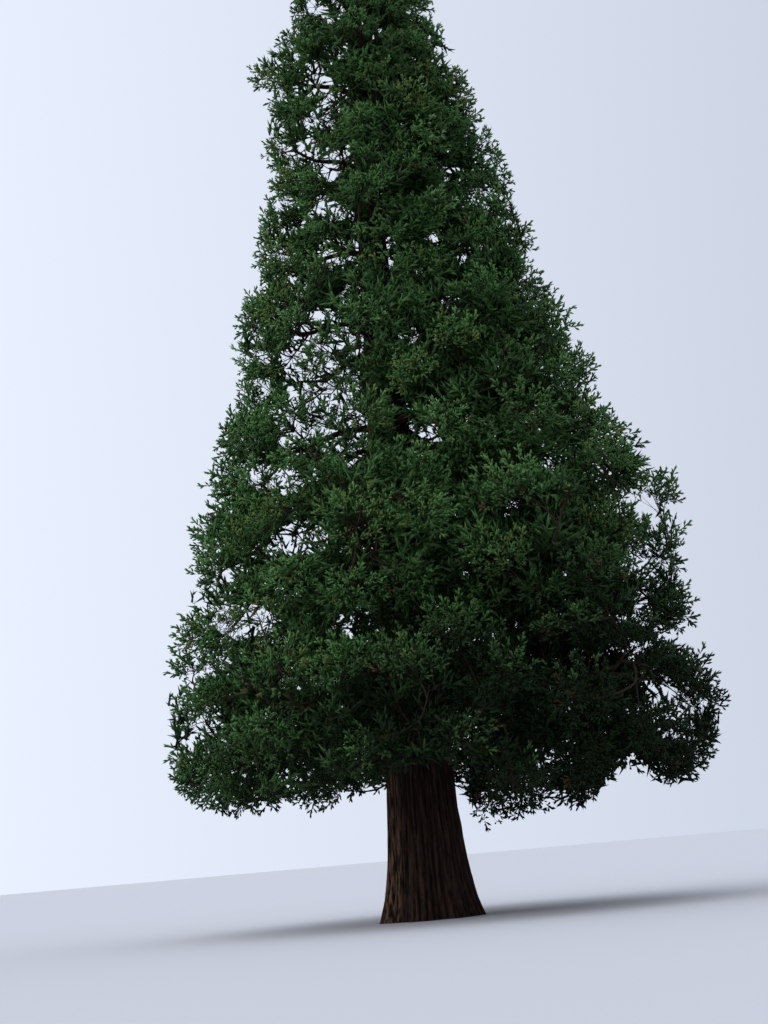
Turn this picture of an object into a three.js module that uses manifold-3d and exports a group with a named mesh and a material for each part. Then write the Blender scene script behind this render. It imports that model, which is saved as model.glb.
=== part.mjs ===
// A giant sequoia grown in the open: one straight, tapering trunk with a flared, fluted foot, and a dense
// cone of foliage that comes down to head height. The crown is wider on its +X side than on its -X side.
// Millimetres, +Z up. The origin is the centre of the flat cut under the trunk, at ground level.

import * as THREE from "three";
import { mergeVertices } from "three/addons/utils/BufferGeometryUtils.js";
import Module from "manifold-3d";

const wasm = await Module();
wasm.setup();

// Driving dimensions

const TREE_HEIGHT = 30400;
const GAP = 0.35; // between pieces that meet
const SPACE_MARGIN = 25; // between a mass's space and the plane that parts it from the next

const TRUNK_RADIUS = 975; // of the plain taper, carried down to the ground
const TRUNK_TIP_RADIUS = 16;
const TRUNK_TAPER_POWER = 1.1;
const FLARE_RADIUS = 330; // what the flare adds at the ground
const FLARE_HEIGHT = 900; // over which the flare fades
const FLUTE_DEPTH = 0.085; // of the radius, at the ground
const FLUTE_HEIGHT = 6000;
const TRUNK_SIDES = 22;
const TRUNK_RINGS = 16;
const RING_CROWDING = 1.9; // the trunk's rings lie closer together towards the ground

// One row for each storey of the crown, from the lowest up. height is the middle of its foliage, left and
// right are the reach to -X and +X, and turn is the azimuth of its first mass, in degrees from +X. rise is
// half the height of the block that a mass may fill.
const STOREYS = [
  { name: "low", height: 5050, left: 6900, right: 8300, masses: 8, turn: 3, rise: 2600, bough: true },
  { name: "second", height: 8850, left: 6250, right: 7950, masses: 7, turn: -1, rise: 2550, bough: true },
  { name: "third", height: 12000, left: 5250, right: 7050, masses: 6, turn: 4, rise: 2300 },
  { name: "fourth", height: 15000, left: 4350, right: 5800, masses: 6, turn: 21, rise: 2150 },
  { name: "fifth", height: 17800, left: 3450, right: 4800, masses: 4, turn: 2, rise: 1950 },
  { name: "sixth", height: 20300, left: 3200, right: 4200, masses: 4, turn: 30, rise: 1800 },
  { name: "seventh", height: 22600, left: 3200, right: 3250, masses: 4, turn: 0, rise: 1700 },
  { name: "eighth", height: 25150, left: 2250, right: 2400, masses: 3, turn: 70, rise: 2350 },
  { name: "top", height: 28050, left: 1300, right: 1350, masses: 2, turn: 10, rise: 2650 },
];
const FULLNESS = 2.4; // 2 makes a mass's block an ellipsoid, and more fills out its corners
const LOW_INNER_SHARE = 0.26; // of a mass's reach, from the trunk's axis to the inner end of its block
const TOP_INNER_SHARE = -0.35; // a top mass's block passes the axis, and is cut off at the trunk
const BREADTH = 1.3; // of a mass against its share of the way round
const LOW_STAGGER = 0.2; // of its rise, that every other mass sits higher, and the rest lower
const TOP_STAGGER = 0.03;

const LOW_TILT = -10; // degrees that a mass's outward axis is turned up or, at the foot of the crown, down
const TOP_TILT = 16;
const LOW_BOUGH_LIFT = 900; // a low bough leaves the trunk this far above the middle of its foliage
const TOP_BOUGH_LIFT = -1300; // and a top one this far below it, since the top boughs climb
const BOUGH_ROOT_RADIUS = 165;
const BOUGH_TIP_RADIUS = 85;
const STEM_TIP_RADIUS = 34;
const BOUGH_SIDES = 6;
const BOUGH_SAG = 260; // of a bough's middle, where it bends down before its tip turns up
const BOUGH_ARCH = 105; // of a bough just off the trunk
const BOUGH_ENTRY = 0.05; // of a limb's path, between a bough's tip and the core that it is about to enter
const STEM_REACH = 0.35; // of a mass's depth, from its centre out to the tip of its stem

const CORE_SHARE = 0.69; // of a mass's free reach that its dense core fills
const CORE_LUMPS = 0.11; // how far the core's surface swells and dips
const CORE_LIMIT = 0.92; // of the way to a neighbour's space
const SPRAY_LENGTH = 2300; // on a mass of the lowest storey, and in proportion on a smaller one
const SPRAY_THICKNESS = 0.16; // of its length
const SPRAY_SINK = 0.3; // of its length, sunk in what carries it
const LEAST_SPRAYS = 4; // that stand out of a mass's core
const SPRAYS_PER_SQUARE_METRE = 0.045; // more than those, for each square metre of its block's surface
const SPRAY_FACING = -0.25; // sprays stand where the core faces outwards by more than this cosine
const TWIGS_PER_MASS = 2;
const TWIG_RADIUS = 42;
const TWIG_REACH = 0.88; // of the way to the edge of a mass's space
const TWIG_SPREAD = 0.95; // from one twig to the next, sideways for each step outwards
const TWIG_SPRAY_SHARE = 0.8; // of the length of the sprays on the core
const TWIG_SPRAY_SINK = 0.14; // of the length of the sprays on the core

// Half of a spray's toothed outline, from root to tip, as shares of its length: along it, and out from its
// middle line
const SPRAY_OUTLINE = [
  [0, 0],
  [0.6, 0.46],
  [0.55, 0.18],
  [1, 0],
];
const SPRAY_RIDGE = 0.42; // where the spray is thickest, along its length

const UP = new THREE.Vector3(0, 0, 1);
const GOLDEN_ANGLE = Math.PI * (3 - Math.sqrt(5));
const { degToRad, lerp } = THREE.MathUtils;

// A repeatable stream of numbers from 0 to 1
function randomStream(seed) {
  let state = seed >>> 0;
  return () => {
    state = (state + 0x6d2b79f5) >>> 0;
    let mixed = Math.imul(state ^ (state >>> 15), state | 1);
    mixed ^= mixed + Math.imul(mixed ^ (mixed >>> 7), mixed | 61);
    return ((mixed ^ (mixed >>> 14)) >>> 0) / 4294967296;
  };
}

function solidOf(geometry) {
  const bare = geometry.clone();
  bare.deleteAttribute("normal");
  bare.deleteAttribute("uv");
  const merged = mergeVertices(bare, 1e-3);
  return new wasm.Manifold(
    new wasm.Mesh({
      numProp: 3,
      vertProperties: merged.attributes.position.array,
      triVerts: new Uint32Array(merged.index.array),
    }),
  );
}

function geometryOf(solid) {
  const mesh = solid.getMesh();
  const geometry = new THREE.BufferGeometry();
  geometry.setAttribute("position", new THREE.BufferAttribute(mesh.vertProperties, 3));
  geometry.setIndex(new THREE.BufferAttribute(mesh.triVerts, 1));
  geometry.computeVertexNormals();
  return geometry;
}

// A joined solid without its loose scraps
function largestPiece(solid) {
  return solid.decompose().reduce((best, piece) => (piece.volume() > best.volume() ? piece : best));
}

// Moves each vertex of a geometry to where place(vertex) says
function shaped(geometry, place) {
  const positions = geometry.attributes.position;
  const vertex = new THREE.Vector3();
  for (let i = 0; i < positions.count; i++) {
    vertex.fromBufferAttribute(positions, i);
    const moved = place(vertex);
    positions.setXYZ(i, moved.x, moved.y, moved.z);
  }
  return geometry;
}

// Trunk

function trunkRadius(height) {
  const share = Math.max(0, 1 - height / TREE_HEIGHT);
  return TRUNK_RADIUS * share ** TRUNK_TAPER_POWER + FLARE_RADIUS * Math.exp(-height / FLARE_HEIGHT);
}

function flutes(angle, height) {
  const depth = FLUTE_DEPTH * Math.exp(-height / FLUTE_HEIGHT);
  const ribs = 0.62 * Math.cos(7 * angle + 0.6) + 0.38 * Math.cos(11 * angle - 1.1);
  return 1 + depth * ribs;
}

// The trunk, or with a clearance the room that other pieces leave round it
function trunkSolid(clearance = 0) {
  const tube = new THREE.CylinderGeometry(1, 1, 1, TRUNK_SIDES, TRUNK_RINGS);
  const trunk = shaped(tube, (vertex) => {
    const height = TREE_HEIGHT * (vertex.y + 0.5) ** RING_CROWDING;
    const angle = Math.atan2(vertex.x, vertex.z);
    const onAxis = Math.hypot(vertex.x, vertex.z) < 0.5;
    const radius = Math.max(TRUNK_TIP_RADIUS, trunkRadius(height)) * flutes(angle, height) + clearance;
    return new THREE.Vector3(Math.cos(angle), Math.sin(angle), 0)
      .multiplyScalar(onAxis ? 0 : radius)
      .setZ(height);
  });
  return solidOf(trunk);
}

// Limbs

// The stretch of a path between two shares of its length as a limb that tapers from one radius to the other.
// Its ends are flat and square to the path, and one corner of each ring lies along across.
function limb(path, stretch, radii, across, sides, steps) {
  const tube = new THREE.CylinderGeometry(1, 1, 1, sides, steps);
  return shaped(tube, (vertex) => {
    const along = vertex.y + 0.5;
    const share = lerp(stretch[0], stretch[1], along);
    const radius = lerp(radii[0], radii[1], along);
    const above = new THREE.Vector3().crossVectors(across, path.getTangentAt(share)).normalize();
    return path
      .getPointAt(share)
      .addScaledVector(across, radius * vertex.x)
      .addScaledVector(above, radius * vertex.z);
  });
}

// Spaces of the masses

// How far the rounded block that a mass may fill reaches from its centre in a direction
function reachOf(mass, direction) {
  const out = Math.abs(direction.dot(mass.outward)) / mass.depth;
  const across = Math.abs(direction.dot(mass.across)) / mass.width;
  const up = Math.abs(direction.dot(mass.lift)) / mass.rise;
  return (out ** FULLNESS + across ** FULLNESS + up ** FULLNESS) ** (-1 / FULLNESS);
}

function massOf(storey, level, k, random) {
  const azimuth = degToRad(storey.turn + (360 / storey.masses) * (k + 0.16 * (random() - 0.5)));
  const flat = new THREE.Vector3(Math.cos(azimuth), Math.sin(azimuth), 0);
  const reach = lerp(storey.left, storey.right, (1 + flat.x) / 2) * (0.97 + 0.06 * random());
  const levelShare = level / (STOREYS.length - 1);
  const depth = (reach * (1 - lerp(LOW_INNER_SHARE, TOP_INNER_SHARE, levelShare))) / 2;
  const tilt = degToRad(lerp(LOW_TILT, TOP_TILT, levelShare));
  const outward = flat.clone().multiplyScalar(Math.cos(tilt)).addScaledVector(UP, Math.sin(tilt));
  const across = new THREE.Vector3().crossVectors(UP, flat);
  const centre = flat.clone().multiplyScalar(reach - depth);
  const stagger = lerp(LOW_STAGGER, TOP_STAGGER, levelShare) * (0.6 + 0.8 * random());
  centre.z = storey.height + storey.rise * (k % 2 ? stagger : -stagger);
  return {
    name: `${storey.name}_${k + 1}`,
    storey,
    level,
    levelShare,
    flat,
    outward,
    across,
    lift: new THREE.Vector3().crossVectors(outward, across),
    centre,
    depth,
    width: Math.min(1.2 * depth, (BREADTH * Math.PI * 0.75 * reach) / storey.masses),
    rise: storey.rise * (0.94 + 0.12 * random()),
    sprayLength: SPRAY_LENGTH * (0.3 + (0.7 * reach) / STOREYS[0].right),
  };
}

function layOut() {
  const masses = STOREYS.flatMap((storey, level) => {
    const random = randomStream(101 + level);
    return Array.from({ length: storey.masses }, (_, k) => massOf(storey, level, k, random));
  });
  masses.forEach((mass, i) => {
    mass.boundaries = boundariesOf(mass, masses);
    mass.random = randomStream(7001 + 37 * i);
  });
  return masses;
}

// The planes that part a mass from its neighbours and from the trunk, each facing away from the mass
function boundariesOf(mass, masses) {
  const planes = [];
  for (const other of masses) {
    if (other === mass) continue;
    const towards = other.centre.clone().sub(mass.centre);
    const distance = towards.length();
    towards.divideScalar(distance);
    const own = reachOf(mass, towards);
    const theirs = reachOf(other, towards.clone().negate());
    planes.push({ normal: towards, distance: (distance * own) / (own + theirs) - SPACE_MARGIN });
  }
  const fromAxis = mass.centre.dot(mass.flat);
  const thickest = trunkRadius(mass.centre.z - mass.rise) * (1 + FLUTE_DEPTH) + SPACE_MARGIN;
  planes.push({ normal: mass.flat.clone().negate(), distance: fromAxis - thickest });
  return planes;
}

// How far a ray from the mass's centre goes before it leaves the mass's space
function roomAlong(mass, direction) {
  let room = reachOf(mass, direction);
  for (const plane of mass.boundaries) {
    const facing = direction.dot(plane.normal);
    if (facing > 1e-6) room = Math.min(room, plane.distance / facing);
  }
  return room;
}

function inSpace(mass, point) {
  const offset = point.clone().sub(mass.centre);
  const distance = offset.length();
  return distance < 1 || distance <= roomAlong(mass, offset.divideScalar(distance));
}

// Boughs and the stems of the masses

// The path from the trunk's axis out to the middle of a mass
function limbPath(mass) {
  const rootHeight = mass.centre.z + lerp(LOW_BOUGH_LIFT, TOP_BOUGH_LIFT, mass.levelShare);
  const root = new THREE.Vector3(0, 0, rootHeight);
  const end = mass.centre.clone().addScaledVector(mass.outward, STEM_REACH * mass.depth);
  const early = root.clone().lerp(end, 0.3);
  early.z += BOUGH_ARCH;
  const late = root.clone().lerp(end, 0.72);
  late.z -= BOUGH_SAG * (1 - mass.levelShare);
  return new THREE.CatmullRomCurve3([root, early, late, end]);
}

// The share of the path's length at which it comes within the mass's core
function entryShare(mass, path) {
  const steps = 80;
  for (let i = 1; i < steps; i++) {
    const offset = path.getPointAt(i / steps).sub(mass.centre);
    const distance = offset.length();
    if (distance < coreRadius(mass, offset.divideScalar(distance))) return i / steps;
  }
  return 0.8;
}

// The room that a mass's sprays leave round the bough that carries it
function boughRoomOf(mass, path, entry) {
  const radii = [BOUGH_ROOT_RADIUS + SPACE_MARGIN, BOUGH_TIP_RADIUS + SPACE_MARGIN];
  return solidOf(limb(path, [0, entry], radii, mass.across, BOUGH_SIDES, 5));
}

function touchesBough(mass, geometry) {
  return mass.storey.bough && !mass.boughRoom.intersect(solidOf(geometry)).isEmpty();
}

// Foliage

// Low, broad swellings, so that a core isn't an even ball
function lumps(mass, direction) {
  const phase = mass.level * 1.7 + mass.centre.x / 900 + mass.centre.y / 1300;
  const wave =
    Math.sin(3.1 * direction.x + 2.3 * direction.z + phase) * Math.cos(2.9 * direction.y - 1.3 * phase) +
    0.6 * Math.sin(4.7 * direction.z + 3.9 * direction.y + 2 * phase);
  return 1 + CORE_LUMPS * wave;
}

function coreRadius(mass, direction) {
  const free = CORE_SHARE * lumps(mass, direction) * reachOf(mass, direction);
  return Math.min(free, CORE_LIMIT * roomAlong(mass, direction));
}

function coreGeometry(mass) {
  const ball = new THREE.IcosahedronGeometry(1, 1);
  return shaped(ball, (vertex) => {
    const direction = vertex.clone().normalize();
    return mass.centre.clone().addScaledVector(direction, coreRadius(mass, direction));
  });
}

// A spray of needles as one toothed blade of twelve faces, from its root out to its tip. The blade starts
// as a ball with six sides, whose waist becomes the outline and whose poles become the ridges.
function sprayGeometry(root, direction, flatSide, length) {
  const across = new THREE.Vector3().crossVectors(flatSide, direction).normalize();
  const normal = new THREE.Vector3().crossVectors(direction, across);
  return shaped(new THREE.SphereGeometry(1, 6, 2), (vertex) => {
    const atPole = Math.abs(vertex.y) > 0.5;
    const turns = Math.round((Math.atan2(vertex.z, vertex.x) * 3) / Math.PI);
    const [along, out] = atPole ? [SPRAY_RIDGE, 0] : SPRAY_OUTLINE[Math.abs(turns)];
    return root
      .clone()
      .addScaledVector(direction, along * length)
      .addScaledVector(across, Math.sign(turns) * out * length)
      .addScaledVector(normal, atPole ? Math.sign(vertex.y) * length * SPRAY_THICKNESS * 0.5 : 0);
  });
}

function allInSpace(mass, geometry) {
  const positions = geometry.attributes.position;
  const vertex = new THREE.Vector3();
  for (let i = 0; i < positions.count; i++) {
    if (!inSpace(mass, vertex.fromBufferAttribute(positions, i))) return false;
  }
  return true;
}

// A spray that is shortened until it fits the mass's space, or null where none fits or it would touch the
// bough
function fittedSpray(mass, root, direction, flatSide, length) {
  for (const share of [1, 0.87, 0.75, 0.64, 0.55]) {
    const spray = sprayGeometry(root, direction, flatSide, length * share);
    if (allInSpace(mass, spray)) return touchesBough(mass, spray) ? null : spray;
  }
  return null;
}

// Sprays stand out of the core all round, evenly spread, and turn up and outwards
function spraysOnCore(mass, count) {
  const { random } = mass;
  const sprays = [];
  const turn = random() * Math.PI * 2;
  for (let i = 0; i < count; i++) {
    const height = 1 - (2 * (i + 0.5)) / count;
    const angle = turn + i * GOLDEN_ANGLE;
    const ring = Math.sqrt(1 - height * height);
    const out = new THREE.Vector3(ring * Math.cos(angle), ring * Math.sin(angle), height);
    if (out.dot(mass.flat) < SPRAY_FACING) continue;
    const direction = out
      .clone()
      .addScaledVector(mass.outward, lerp(0.5, 0.05, mass.levelShare))
      .addScaledVector(UP, lerp(0.2, 0.6, mass.levelShare))
      .normalize();
    const length = mass.sprayLength * (0.85 + 0.3 * random());
    const root = mass.centre.clone().addScaledVector(out, coreRadius(mass, out) * 0.96);
    root.addScaledVector(direction, -SPRAY_SINK * length);
    const flatSide = out.clone().add(UP).addScaledVector(mass.across, 4 * (random() - 0.5));
    const spray = fittedSpray(mass, root, direction, flatSide, length);
    if (spray) sprays.push(spray);
  }
  return sprays;
}

// The sprays of a twig: one that ends it, and one that leaves it to a side
function spraysOnTwig(mass, start, end, side) {
  const twigDirection = end.clone().sub(start).normalize();
  const flatSide = UP.clone().addScaledVector(mass.across, 0.4);
  const places = [
    { along: 0.97, lean: 0 },
    { along: 0.8, lean: 0.9 * side },
  ];
  return places.flatMap(({ along, lean }) => {
    const aim = twigDirection.clone().addScaledVector(mass.across, lean);
    aim.addScaledVector(UP, 0.15).normalize();
    const root = start.clone().lerp(end, along).addScaledVector(aim, -TWIG_SPRAY_SINK * mass.sprayLength);
    const spray = fittedSpray(mass, root, aim, flatSide, TWIG_SPRAY_SHARE * mass.sprayLength);
    return spray ? [spray] : [];
  });
}

// Twigs leave the stem, come out through the core and end in sprays of their own
function twigs(mass, path) {
  const { random } = mass;
  const pieces = [];
  for (let i = 0; i < TWIGS_PER_MASS; i++) {
    const start = path.getPointAt(0.86 + 0.04 * i);
    const swing = TWIG_SPREAD * (i - (TWIGS_PER_MASS - 1) / 2) + 0.3 * (random() - 0.5);
    const direction = mass.outward
      .clone()
      .addScaledVector(mass.across, swing)
      .addScaledVector(UP, 0.5 * (random() - 0.35))
      .normalize();
    const offset = start.clone().sub(mass.centre);
    const length = TWIG_REACH * roomAlong(mass, direction) - offset.dot(direction);
    const end = start.clone().addScaledVector(direction, length);
    if (!inSpace(mass, end)) continue;
    const across = new THREE.Vector3().crossVectors(UP, direction).normalize();
    const line = new THREE.LineCurve3(start, end);
    pieces.push(limb(line, [0, 1], [TWIG_RADIUS, 0.6 * TWIG_RADIUS], across, 3, 1));
    pieces.push(...spraysOnTwig(mass, start, end, i % 2 ? 1 : -1));
  }
  return pieces;
}

function massSolid(mass, path, entry, trunkRoom) {
  const { depth, width, rise } = mass;
  const surface = (4 * Math.PI * (depth * width + depth * rise + width * rise)) / 3e6; // in square metres
  const sprayCount = Math.round(LEAST_SPRAYS + SPRAYS_PER_SQUARE_METRE * surface);
  const ownBough = mass.storey.bough;
  const start = ownBough ? entry : 0;
  const startRadius = ownBough ? BOUGH_TIP_RADIUS : BOUGH_TIP_RADIUS * (0.6 + mass.depth / 5000);
  const stem = limb(path, [start, 1], [startRadius, STEM_TIP_RADIUS], mass.across, BOUGH_SIDES, 2);
  const parts = [stem, coreGeometry(mass), ...spraysOnCore(mass, sprayCount), ...twigs(mass, path)];
  const joined = wasm.Manifold.union(parts.map(solidOf));
  return largestPiece(ownBough ? joined : joined.subtract(trunkRoom));
}

function boughSolid(mass, path, entry, trunkRoom) {
  const tip = entry - GAP / path.getLength();
  const bough = limb(path, [0, tip], [BOUGH_ROOT_RADIUS, BOUGH_TIP_RADIUS], mass.across, BOUGH_SIDES, 4);
  return largestPiece(solidOf(bough).subtract(trunkRoom));
}

// The tree

const bark = new THREE.MeshStandardMaterial({
  name: "bark",
  color: 0x5a3a2c,
  roughness: 0.95,
  metalness: 0,
});
const foliage = new THREE.MeshStandardMaterial({
  name: "foliage",
  color: 0x2c4a2b,
  roughness: 0.85,
  metalness: 0,
});

function buildTree() {
  const tree = new THREE.Group();
  const add = (name, solid, material) => {
    const mesh = new THREE.Mesh(geometryOf(solid), material);
    mesh.name = name;
    tree.add(mesh);
  };
  add("trunk", trunkSolid(), bark);
  const trunkRoom = trunkSolid(GAP);
  for (const mass of layOut()) {
    const path = limbPath(mass);
    const entry = entryShare(mass, path) - BOUGH_ENTRY;
    mass.boughRoom = boughRoomOf(mass, path, entry);
    if (mass.storey.bough) add(`bough_${mass.name}`, boughSolid(mass, path, entry, trunkRoom), bark);
    add(`foliage_${mass.name}`, massSolid(mass, path, entry, trunkRoom), foliage);
  }
  return tree;
}

export default buildTree();
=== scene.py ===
import math
from functools import lru_cache
from typing import NamedTuple

import bpy
import numpy as np
from mathutils import Matrix, Vector, noise


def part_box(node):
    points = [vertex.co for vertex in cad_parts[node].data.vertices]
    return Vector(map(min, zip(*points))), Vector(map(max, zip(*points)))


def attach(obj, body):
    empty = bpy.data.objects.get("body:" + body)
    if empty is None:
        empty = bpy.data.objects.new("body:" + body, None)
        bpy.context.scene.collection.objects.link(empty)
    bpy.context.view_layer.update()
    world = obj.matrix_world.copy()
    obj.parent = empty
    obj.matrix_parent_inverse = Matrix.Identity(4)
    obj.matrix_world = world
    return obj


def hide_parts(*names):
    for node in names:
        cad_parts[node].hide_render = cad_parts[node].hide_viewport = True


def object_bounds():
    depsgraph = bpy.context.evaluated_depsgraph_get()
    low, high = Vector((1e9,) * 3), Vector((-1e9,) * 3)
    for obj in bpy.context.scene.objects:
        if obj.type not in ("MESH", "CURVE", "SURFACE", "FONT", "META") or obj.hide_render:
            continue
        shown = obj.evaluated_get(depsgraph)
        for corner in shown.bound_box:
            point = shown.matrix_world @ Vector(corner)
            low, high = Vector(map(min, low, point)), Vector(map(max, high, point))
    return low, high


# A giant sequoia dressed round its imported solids: a trunk and boughs whose bark has a relief of ridges and
# furrows, and a crown of branches, twigs and sprays of needles that grow on from the boughs. Metres, with +Z
# up the trunk, +X towards the side where the crown is widest and +Y towards the back of the tree.

bl_info = {
    "name": "Giant Sequoia Dresser",
    "version": (1, 0, 0),
    "blender": (4, 5, 0),
    "location": "3D View > Sidebar > Sequoia",
    "description": "Grows bark, branches, twigs and needles on the solids of a giant sequoia",
    "category": "Add Mesh",
}

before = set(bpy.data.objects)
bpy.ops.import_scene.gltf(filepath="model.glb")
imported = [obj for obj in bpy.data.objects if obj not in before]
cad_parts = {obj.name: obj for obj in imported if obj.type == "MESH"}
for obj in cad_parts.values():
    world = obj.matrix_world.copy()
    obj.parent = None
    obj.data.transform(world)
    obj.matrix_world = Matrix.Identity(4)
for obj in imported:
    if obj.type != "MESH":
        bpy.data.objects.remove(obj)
CAD_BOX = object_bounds()

# Trunk and limbs, by the same rule as the solids

TREE_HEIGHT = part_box("trunk")[1].z
TRUNK_RADIUS = 0.975  # of the plain taper, carried down to the ground
TRUNK_TIP_RADIUS = 0.016
TRUNK_TAPER_POWER = 1.1
FLARE_RADIUS = 0.33  # what the flare adds at the ground
FLARE_HEIGHT = 0.9  # over which the flare fades
FLUTE_DEPTH = 0.085  # of the radius, at the ground
FLUTE_HEIGHT = 6.0  # over which the flutes fade
FLUTES = ((0.62, 7, 0.6), (0.38, 11, -1.1))  # waves round the trunk: share of the depth, number and phase
RING_CROWDING = 1.9  # the trunk's rings lie closer together towards the ground

LOW_BOUGH_LIFT = 0.9  # a low bough leaves the trunk this far above the middle of its foliage
TOP_BOUGH_LIFT = -1.3  # and a top one this far below it, since the top boughs climb
BOUGH_ROOT_RADIUS = 0.165
BOUGH_TIP_RADIUS = 0.085
STEM_TIP_RADIUS = 0.034
BOUGH_ARCH = 0.105  # of a bough just off the trunk
ARCH_PLACE = 0.3  # as a share of the way out
BOUGH_SAG = 0.26  # of a bough further out, where it bends down before its tip turns up
SAG_PLACE = 0.72
STEM_REACH = 0.35  # of a mass's depth, from its centre out to the tip of its stem
CORE_SHARE = 0.69  # of a mass's free reach that the solid's dense core fills
CORE_LUMPS = 0.11  # how far the core's surface swells and dips
CORE_LIMIT = 0.92  # of the way to a neighbour's space
LIMB_POINTS = 81
CURVE_STEPS = 60  # between two corners of a smooth path

# Bark, which only the dressed tree has

TRUNK_MESH = (240, (23, 11))  # its sides, and how often it is cut across, and then again between those cuts
TRUNK_RIDGES = (30, 0.22)  # how many there are round it, and how fast they wander up it
LIMB_MESH = (18, (11, 3))
LIMB_RIDGES = (5, 2.2)
RIDGE_WANDER = (5, 2)  # how far the ridges wander, in broad bends and in close ones
CLOSE_RIDGES = 1.55  # of the closer set of ridges to the coarser one
CLOSE_WANDER = 1.3
RIDGE_BLEND = 2.5  # how sharply the two sets fade into each other
STRING_DEPTH = 1.1  # of the dips between the fine strings, against a furrow
NOISE_RADIUS = 1.5  # of the circle round which the noise is read

RIDGE_RADIUS = 1.01  # of the tops of the ridges to the solid trunk
FURROW_RANGE = (0.05, 1)  # the trunk's radii between which its furrows are deeper where it is thicker
CREASE_ANGLE = 60  # degrees, beyond which an edge of the trunk looks sharp
RIB_AZIMUTH = 206  # of a rib at the trunk's foot, whose bark is painted pale as painted light on the side that faces the light
RIB_WIDTH = 22
CLEFT_AZIMUTH = 236  # of a deep cleft beside it
CLEFT_WIDTH = 8
CLEFT_DEPTH = 0.12
CLEFT_SHADE = 0.8  # how close the bark in the cleft comes to a furrow's colour, as painted shade

LIMB_FURROW = 0.16  # of a limb's radius
LIMB_SHIFT = 7  # of the bark's pattern for each metre up the tree, so that limbs differ
LIMB_SINK = 0.12  # of a limb's root in the trunk
COLLAR = (0.55, 14)  # how much thicker a limb is at its root, and how fast that fades along it
LEAST_ENTRY = 0.1  # of a limb's length, that lies before the dense part of its mass
HIDDEN_ROOT = (0.6, 5)  # of a stem with no bough, in bough tips: the least, and the depth that adds one

BARK_STRETCH = {"trunk_bark": 0.12, "limb_bark": 0.5}  # how fast the fibres change up Z, against across it
BARK_SHOW = (0.6, 0.9, 0.7)  # how much the relief, the strips and the fibres show in the colour: the relief as painted shade in the furrows
BARK_BIAS = 0.6  # how far the colour is drawn back to that of the furrows
BARK_WEAR_AND_LIGHT = (0.1, 0.85)  # how much wear the bark shows all over, and how much painted light the pale rib adds to it
FIBRE_ROUGHNESS = 0.6  # of the fibres to the strips

# The crown, by the same rule as the solids


class Storey(NamedTuple):
    """One storey of the crown: the height of its middle, its reach to -X and to +X, how many masses it has,
    the azimuth of the first one in degrees, half the height of a mass's block, and if its boughs show."""

    name: str
    height: float
    left: float
    right: float
    masses: int
    turn: float
    rise: float
    bough: bool = False


STOREYS = (
    Storey("low", 5.05, 6.9, 8.3, 8, 3, 2.6, True),
    Storey("second", 8.85, 6.25, 7.95, 7, -1, 2.55, True),
    Storey("third", 12.0, 5.25, 7.05, 6, 4, 2.3),
    Storey("fourth", 15.0, 4.35, 5.8, 6, 21, 2.15),
    Storey("fifth", 17.8, 3.45, 4.8, 4, 2, 1.95),
    Storey("sixth", 20.3, 3.2, 4.2, 4, 30, 1.8),
    Storey("seventh", 22.6, 3.2, 3.25, 4, 0, 1.7),
    Storey("eighth", 25.15, 2.25, 2.4, 3, 70, 2.35),
    Storey("top", 28.05, 1.3, 1.35, 2, 10, 2.65),
)
FULLNESS = 2.4  # 2 makes a mass's block an ellipsoid, and more fills out its corners
LOW_INNER_SHARE = 0.26  # of a mass's reach, from the trunk's axis to the inner end of its block
TOP_INNER_SHARE = -0.35  # a top mass's block passes the axis, and is cut off at the trunk
BREADTH = 1.3  # of a mass against its share of the way round
BREADTH_PLACE = 0.75  # of its reach, where that is measured
WIDEST = 1.2  # times a mass's depth
LOW_STAGGER = 0.2  # of its rise, that every other mass sits higher, and the rest lower
TOP_STAGGER = 0.03
LOW_TILT = -10  # degrees that a mass's outward axis is turned up or, at the foot of the crown, down
TOP_TILT = 16
AZIMUTH_CHANCE = 0.16  # of a mass's share of the way round
REACH_CHANCE = (0.97, 0.06)  # the least share of a mass's reach, and the most that chance adds to it
STAGGER_CHANCE = (0.6, 0.8)
RISE_CHANCE = (0.94, 0.12)
SPACE_MARGIN = 0.025  # between a mass's space and the plane that parts it from the next
CROWN_SEED = 101

# Finer growth, which only the dressed tree has


class Girth(NamedTuple):
    """How far the sprays reach to -X and to +X at a height."""

    height: float
    left: float
    right: float


OUTLINE = (
    Girth(1.9, 4.0, 3.1),
    Girth(2.5, 5.2, 5.4),
    Girth(2.8, 5.7, 7.4),
    Girth(3.2, 6.1, 7.9),
    Girth(4.6, 6.5, 8.05),
    Girth(5.9, 6.5, 7.8),
    Girth(7.2, 6.2, 7.65),
    Girth(8.4, 5.85, 7.4),
    Girth(9.8, 5.35, 7.6),
    Girth(10.6, 5.4, 7.35),
    Girth(11.4, 5.2, 6.9),
    Girth(12.1, 4.9, 6.1),
    Girth(13.0, 4.5, 5.6),
    Girth(13.8, 3.85, 5.65),
    Girth(15.2, 4.05, 5.35),
    Girth(16.4, 3.5, 4.4),
    Girth(17.6, 3.25, 4.4),
    Girth(18.9, 2.95, 4.0),
    Girth(19.8, 2.55, 3.75),
    Girth(20.5, 2.85, 3.4),
    Girth(21.6, 2.6, 3.1),
    Girth(22.6, 3.05, 2.9),
    Girth(23.3, 2.7, 2.5),
    Girth(23.8, 1.55, 2.4),
    Girth(24.6, 1.8, 2.25),
    Girth(26.5, 1.4, 1.8),
    Girth(28.5, 1.1, 1.2),
    Girth(30.4, 0.4, 0.4),
)


class Hem(NamedTuple):
    """How low the sprays hang at a distance to +X from the trunk's axis."""

    across: float
    height: float


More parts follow.
